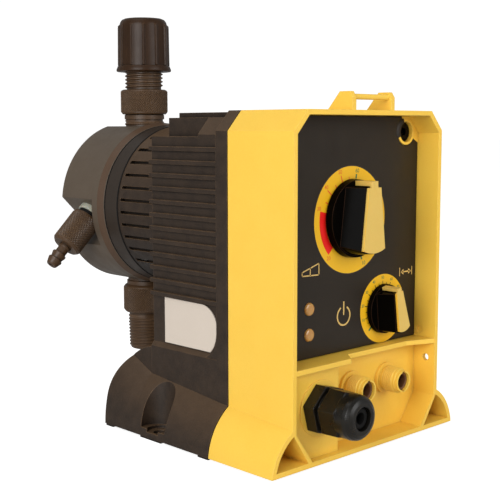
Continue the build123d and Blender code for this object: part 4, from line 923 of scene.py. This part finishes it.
@dataclass
class Thread(RoundPiece):
    """A screw thread wound round a cylinder or a slim cone.

    Attributes:
        length: Length along the axis.
        pitch: Distance from ridge to ridge.
        root: Radius of the valleys at the start.
        crest: Radius of the ridges at the start.
        taper: How much the radius grows for each millimetre of length.
        section: One ridge as (share of the pitch, share of the height).
        around: Steps in one turn.
    """

    length: float
    pitch: float
    root: float
    crest: float
    taper: float = 0.0
    section: tuple[Spot, ...] = ((0.0, 0.0), (0.12, 0.0), (0.42, 1.0), (0.58, 1.0), (0.88, 0.0), (1.0, 0.0))
    around: int = 60
    closed: ClassVar[bool] = False

    def rows(self, mesh: Mesh) -> Rows:
        """Place the ridge's section step by step along the helix, as RoundPiece.rows says."""
        axis, side, other = square_axes(self.axis)
        steps = int((self.length / self.pitch - 1) * self.around)
        run_in = self.around / 4
        lines = []
        for k in range(steps + 1):
            a = 2 * math.pi * k / self.around
            full = min(1.0, k / run_in, (steps - k) / run_in)
            line = []
            for along, rise in self.section:
                run = (k / self.around + along) * self.pitch
                r = self.root + (self.crest - self.root) * rise * full + self.taper * run
                spot = (side * math.cos(a) + other * math.sin(a)) * r + axis * run
                line.append(mesh.verts.new((Vector(self.base) + spot) * MM))
            lines.append(line)
        return lines


@dataclass
class Casing:
    """Yellow cover, black housing and what is fixed to them.

    Attributes:
        corner: Centre of the boss in the upper corner of the recess, as (x, z).
        boss_r: Radius of the boss.
        web: Outer edge of the web between the boss and the recess wall, as (x, z).
        web_lift: How far the web stands off the panel film.
        lip: Rows of the film's lip round the boss, as (radius, height over the film).
    """

    corner: Spot = (38.7, 144.3)
    boss_r: float = 6.0
    web: tuple[Spot, ...] = ((35.1, 151.6), (42.0, 151.6), (48.2, 143.6), (48.2, 139.0))
    web_lift: float = 0.1
    lip: tuple[Spot, ...] = ((7.0, 0.02), (6.3, 0.42), (4.5, 0.42))

    def build(self) -> None:
        """Dress the mouldings and fill the corner between the boss and the recess wall."""
        dress(YELLOW_ABS, "front_cover")
        dress(BLACK_PPO, "rear_housing")
        dress(NEOPRENE_AND_PAINTED_SHADE, "cover_gasket")
        dress(BLACKENED_STEEL, "cover_screws")
        dress(VINYL_LABEL, "rating_plate")
        self.web_corner()
        self.lip_film()

    def web_corner(self) -> None:
        """Lay the yellow web between the boss and the corner."""
        (cx, cz), y = self.corner, (FILM_Y - self.web_lift) * MM
        arc = [(cx + self.boss_r * math.cos(math.radians(a)), cz + self.boss_r * math.sin(math.radians(a)))
               for a in range(-29, 116, 8)]
        mesh = bmesh.new()
        mesh.faces.new([mesh.verts.new((x * MM, y, z * MM)) for x, z in (*self.web, *arc)])
        piece_from("corner_web", mesh, YELLOW_ABS, "pump", smooth=False)

    def lip_film(self) -> None:
        """Lay the sloped lip of the panel film over the boss's lower left side."""
        cx, cz = self.corner
        mesh = bmesh.new()
        skin(mesh, [[mesh.verts.new(((cx + r * math.sin(math.radians(c))) * MM, (FILM_Y - rise) * MM,
                                     (cz + r * math.cos(math.radians(c))) * MM)) for c in range(244, 341, 6)]
                    for r, rise in self.lip])
        piece_from("panel_film_lip", mesh, PANEL_FILM, "pump")


@dataclass
class ControlPanel:
    """Panel, its printing, the indicator lenses and both knobs.

    Attributes:
        stroke_centre: Centre of the stroke dial as (x, z).
        rate_centre: Centre of the rate dial as (x, z).
        rate_turn: How far the rate knob is turned, in degrees.
        hub: Radius of the hole in both discs, under the knobs.
        stroke_dial: Radius of the stroke dial's disc.
        disc_shift: How far that disc sits off its centre, as (x, z).
        rim: Width of the line round it.
        rate_dial: Radius of the rate dial's disc.
        tail: Half the width of the stroke knob's insert at its wide end.
        tip: The same at its narrow end.
        reach: Lower and upper end of that insert from the knob's centre.
        bevel: Width of the bright bevel on its face.
        flank: Depth of the bevel down its side.
        proud: How far the bevel stands off its side.
    """

    stroke_centre: Spot = (0.0, 105.3)
    rate_centre: Spot = (23.1, 61.4)
    rate_turn: float = 13.0
    hub: float = 4.5
    stroke_dial: float = 24.3
    disc_shift: Spot = (-0.8, -0.4)
    rim: float = 0.45
    rate_dial: float = 16.35
    tail: float = 7.6
    tip: float = 4.4
    reach: Spot = (-13.2, 14.3)
    bevel: float = 0.5
    flank: float = 0.95
    proud: float = 0.03

    def build(self) -> None:
        """Dress the panel's pieces and print it."""
        dress(BLACK_PPO, "control_panel")
        dress(PANEL_FILM, "panel_overlay")
        dress(AMBER_LENS, "indicator_lenses")
        dress(KNOB_PHENOLIC, "stroke_knob", "rate_knob")
        dress(INSERT_NYLON, "stroke_pointer", "rate_pointer")
        self.bevel_insert("stroke", self.stroke_centre, turn=0.0, scale=1.0, slim=1.0, front=13.42)
        self.bevel_insert("rate", self.rate_centre, self.rate_turn, scale=11.8 / 17.9, slim=0.82, front=11.82)
        self.print_stroke_dial()
        self.print_rate_dial()
        self.print_symbols()

    def bevel_insert(self, knob: str, centre: Spot, turn: float, scale: float, slim: float,
                     front: float) -> None:
        """Lay the bright bevel along the left edge of a knob's insert.

        Args:
            knob: Name of the knob.
            centre: Centre of its dial as (x, z).
            turn: How far the knob is turned, in degrees.
            scale: Length of the insert, with the stroke knob's as one.
            slim: Its width against its length, with the stroke knob's as one.
            front: How far its face stands off the panel film.
        """
        (cx, cz), face, a = centre, FILM_Y - front, math.radians(turn)
        mesh = bmesh.new()
        rows = []
        for inset, depth in ((-self.proud, self.flank), (-self.proud, 0.0), (self.bevel * scale, -0.02)):
            edge = ((inset - self.tip * scale * slim, self.reach[1] * scale),
                    (inset - self.tail * scale * slim, self.reach[0] * scale))
            rows.append([mesh.verts.new((
                (cx + u * math.cos(a) - v * math.sin(a)) * MM, (face + depth) * MM,
                (cz + u * math.sin(a) + v * math.cos(a)) * MM)) for u, v in edge])
        skin(mesh, rows)
        piece_from(f"{knob}_pointer_bevel", mesh, BRIGHT_NYLON, f"{knob}_dial", smooth=False)

    def print_stroke_dial(self) -> None:
        """Print the large dial: yellow disc, red warning band, red and green marks."""
        c = self.stroke_centre
        middle = (c[0] + self.disc_shift[0], c[1] + self.disc_shift[1])
        disc, rim, red, orange, green = (InkLayer(level) for level in (1, 1, 2, 2, 2))
        disc.ring(middle, self.hub, self.stroke_dial)
        rim.ring(middle, self.stroke_dial, self.stroke_dial + self.rim)
        red.ring(c, 17.6, 21.7, start=226.0, sweep=56.0)
        for clock, outer in ((295.2, 19.6), (309.4, 21.4), (324.1, 19.4), (338.8, 21.2), (353.5, 19.2)):
            orange.tick(c, clock, 17.8, outer, 0.55)
        for text, clock in (("50", 338.9), ("40", 310.6), ("30", 284.5), ("20", 222.7)):
            orange.number(text, c, clock, 22.8)
        for clock in (8.3, 159.3):
            green.tick(c, clock, 18.4, 20.4, 0.9)
        green.number("60", c, 9.2, 21.9)
        green.number("10", c, 157.6, 22.6)
        disc.finish("stroke_dial_disc", INK_YELLOW)
        rim.finish("stroke_dial_rim", INK_BLACK)
        red.finish("stroke_dial_band", INK_RED)
        orange.finish("stroke_dial_marks", INK_ORANGE)
        green.finish("stroke_dial_green_marks", INK_GREEN)

    def print_rate_dial(self) -> None:
        """Print the small dial: yellow disc, black marks, numbers and a green start mark."""
        c = self.rate_centre
        first_clock, clock_step, marks = 241.2, 13.1, 20
        disc, black, numbers, green = (InkLayer(level) for level in (1, 2, 2, 2))
        disc.ring(c, self.hub, self.rate_dial)
        for step in range(marks):
            clock = first_clock + clock_step * step
            long_mark = step % 2 == 1
            black.tick(c, clock, 11.4, 13.1 if long_mark else 12.4, 0.4)
            if long_mark:
                numbers.number(str(5 * (step + 1)), c, clock, 14.7, 1.5)
        green.tick(c, 226.6, 11.2, 13.8, 0.9)
        disc.finish("rate_dial_disc", INK_YELLOW)
        black.finish("rate_dial_marks", INK_BLACK)
        numbers.finish("rate_dial_numbers", INK_GREEN)
        green.finish("rate_dial_start", INK_GREEN)

    def print_symbols(self) -> None:
        """Print the power, ramp and stroke symbols in pale gold."""
        gold = InkLayer()
        gold.ring((-4.9, 61.4), 3.9, 4.7, start=28.0, sweep=304.0)
        gold.stroke([(-4.9, 62.2), (-4.9, 67.6)], 0.8)
        gold.stroke([(-32.6, 82.2), (-21.8, 81.9), (-21.8, 87.0), (-32.6, 83.8), (-32.6, 82.2)], 0.55)
        gold.stroke([(-27.4, 81.9), (-27.4, 85.4)], 0.55)
        for x in (35.7, 45.1):
            gold.stroke([(x, 75.6), (x, 79.3)], 0.45)
        gold.stroke([(37.6, 77.3), (43.4, 77.3)], 0.6)
        for tip, back in ((36.5, 38.6), (44.4, 42.3)):
            gold.polygon([(tip, 77.3), (back, 78.7), (back, 75.9)])
        gold.finish("panel_symbols", INK_GOLD)


@dataclass
class LiquidEnd:
    """Pump head, spacer ring, both valves and the bleed valve.

    Attributes:
        valve_y: Station of the suction and discharge valves.
        bleed_root: Point where the bleed valve meets the head.
        bleed_axis: Direction the bleed valve points in.
        grip_start: Where its knurled grip starts, from the root.
        cap_outline: The discharge cap from its lower rim, over the top and into the bore.
    """

    valve_y: float = 83.0
    bleed_root: Point = (-36.062, 83.0, 102.064)
    bleed_axis: Point = (-math.sqrt(0.5), 0.0, -math.sqrt(0.5))
    grip_start: float = 6.0
    cap_outline: tuple[Spot, ...] = (
        (10.6, 176.9), (14.6, 176.9), (14.95, 177.3), (14.9, 178.1), (14.35, 179.4), (14.25, 179.8),
        (13.35, 179.9), (13.35, 180.2), (13.3, 184.0), (13.2, 192.0), (13.1, 200.2), (13.0, 201.4),
        (12.9, 202.2), (12.5, 203.5), (11.6, 204.7), (10.2, 205.3), (7.9, 205.3), (7.3, 205.0),
        (7.2, 204.4), (7.2, 198.6))

    def build(self) -> None:
        """Dress the liquid end; add its knurling, threads, cap, sleeve, painted shade in its gaps and chamfer
        highlight.
        """
        dress(TURNED_PVC, "pump_head")
        dress(RING_PVC, "spacer_ring")
        dress(TURNED_STEEL, "head_bolts")
        dress(FITTING_PVC, "discharge_body", "suction_body", "bleed_valve", "bleed_barb")
        dress(CAP_PVC, "discharge_cap")
        dress(WHITE_ACETAL, "bleed_collar")
        dress(PTFE, "discharge_seat", "suction_seat", "tube_ferrule", "diaphragm")
        dress(NEOPRENE_AND_PAINTED_SHADE, "discharge_oring", "suction_oring")
        dress(ALUMINA, "discharge_ball", "suction_ball")
        self.knurl_collars()
        self.cut_threads()
        self.mould_cap()
        self.fit_bleed_sleeve()
        self.lay_gap_shade_and_chamfer_highlight()

    def mould_cap(self) -> None:
        """Mould the ribbed cap in place of the plain one."""
        cap = Turned("ribbed_cap", (0, self.valve_y, 0), UP, self.cap_outline, ribs=12, rib_rise=0.8,
                     rib_width=1.3, rib_span=(180.1, 201.6), first=232.0)
        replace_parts(cap.build(CAP_PVC, "tube_nut", "brown_fitting"), "discharge_cap")

    def fit_bleed_sleeve(self) -> None:
        """Fit the white sleeve, a black ring of painted shade in its neck and the shoulder between the head
        and the bleed valve's grip.
        """
        for name, outline, finish, slot, body in (
                ("bleed_sleeve", ((3.7, -1.6), (6.6, -1.6), (6.9, -1.3), (6.9, 2.6), (6.6, 2.9), (3.7, 2.9)),
                 FROSTED_ACETAL, "white_plastic", "pump"),
                # A black ring of painted shade where the narrow neck lies in shadow.
                ("bleed_neck_shade", ((3.7, 3.0), (6.1, 3.0), (6.1, 4.9), (3.7, 4.9)),
                 NEOPRENE_AND_PAINTED_SHADE, "black_rubber", "pump"),
                ("bleed_shoulder", ((4.0, 5.0), (6.9, 5.0), (7.5, 5.2), (7.85, 5.7), (7.85, 9.9)),
                 FITTING_PVC, "brown_fitting", "bleed")):
            Turned(name, self.bleed_root, self.bleed_axis, outline).build(finish, body, slot)

    def lay_gap_shade_and_chamfer_highlight(self) -> None:
        """Lay black bands of painted shade where the ring meets the drum and the head, and a painted
        highlight on the chamfer.
        """
        half, deep = 0.45, 1.0
        # Painted shade: black bands laid in the gaps at both sides of the ring.
        for name, station, radius in (("gap_shade_ring_drum", 53.0, 41.9), ("gap_shade_ring_head", 64.0, 41.95)):
            outline = ((radius - deep, -half), (radius, -half), (radius, half), (radius - deep, half))
            Turned(name, (0, station, DRIVE_Z), DRIVE, outline).build(NEOPRENE_AND_PAINTED_SHADE, "pump", "black_rubber")
        # Painted highlight: a browner band of the head's stock laid on its chamfer.
        chamfer = ((41.5, 64.5), (42.12, 64.5), (43.44, 68.35), (43.0, 68.5))
        Turned("head_chamfer", (0, 0, DRIVE_Z), DRIVE, chamfer).build(CHAMFER_HIGHLIGHT_PVC, "pump", "dark_liquid_end")

    def knurl_collars(self) -> None:
        """Wrap the collars of both valves and the bleed valve's grip in knurling."""
        for name, low, length in (("discharge_collar_knurl", 154.5, 12.1),
                                  ("suction_collar_knurl", 44.8, 13.6)):
            Knurl(name, (0, self.valve_y, low), UP, length, radius=12.52, height=0.46, count=60).build(
                KNURLED_PVC, "pump", "brown_fitting")
        start = Vector(self.bleed_root) + Vector(self.bleed_axis) * self.grip_start
        Knurl("bleed_grip_knurl", tuple(start), self.bleed_axis, length=17.8, radius=7.82, height=0.42,
              count=38).build(KNURLED_PVC, "bleed", "brown_fitting")

    def cut_threads(self) -> None:
        """Wind the threads of the discharge valve and the taper thread of the suction valve."""
        for name, start, axis, length, pitch, root, crest, taper in (
                ("discharge_lower_thread", 147.0, UP, 4.4, 1.8, 10.22, 10.8, 0.0),
                ("discharge_upper_thread", 167.0, UP, 22.5, 2.0, 9.43, 10.4, 0.0),
                ("suction_pipe_thread", 42.6, DOWN, 19.4, 1.814, 9.86, 10.45, -0.031)):
            Thread(name, (0, self.valve_y, start), axis, length, pitch, root, crest, taper).build(
                KNURLED_PVC, "pump", "brown_fitting")


@dataclass
class CableGland:
    """Gland at the lower left of the control side, and the two signal sockets.

    Attributes:
        sockets: X of both sockets.
        socket_z: Height of the sockets.
        thread_y: Station where the sockets' threads start.
        liner: Half section of a socket's liner, as (radius, station).
    """

    sockets: Spot = (0.0, 25.5)
    socket_z: float = 27.5
    thread_y: float = -69.2
    liner: tuple[Spot, ...] = ((3.3, -71.2), (3.3, -77.4), (3.5, -77.6), (4.28, -77.6), (4.28, -71.2))

    def build(self) -> None:
        """Dress the gland and the sockets' inner pieces, and line and thread the sockets."""
        dress(GLAND_POLYAMIDE, "gland_body", "gland_nut", "gland_locknut")
        dress(NEOPRENE_AND_PAINTED_SHADE, "gland_seal")
        dress(BRONZE, "socket_pins")
        dress(SOCKET_PHENOLIC, "socket_inserts")
        for side, x in zip(("left", "right"), self.sockets):
            Turned(f"socket_liner_{side}", (x, 0.0, self.socket_z), DRIVE, self.liner).build(
                SOCKET_PHENOLIC, "pump", "brown_fitting")
            Thread(f"socket_thread_{side}", (x, self.thread_y, self.socket_z), FRONT, length=8.2, pitch=1.05,
                   root=5.52, crest=6.0).build(YELLOW_ABS, "pump", "yellow_plastic")


@dataclass
class Drive:
    """Everything inside: magnet, stroke adjuster and electronics."""

    def build(self) -> None:
        """Dress the inner pieces."""
        dress(TURNED_STEEL, "magnet_frame", "armature", "return_spring", "stroke_spindle", "stroke_stop",
              "rate_shaft", "board_screws")
        dress(WHITE_ACETAL, "coil_bobbin", "stop_carrier")
        dress(WOUND_COPPER, "coil_winding")
        dress(BRONZE, "guide_bush", "rate_control")
        dress(SOLDER_RESIST, "circuit_board")
        dress(COMPONENT_EPOXY, "board_parts")


def main() -> None:
    """Build the pump's looks in order."""
    logging.basicConfig(level=logging.INFO)
    for part in (Studio(), Casing(), ControlPanel(), LiquidEnd(), CableGland(), Drive()):
        part.build()
        LOG.info("finished %s", type(part).__name__)


if __name__ == "__main__":
    main()
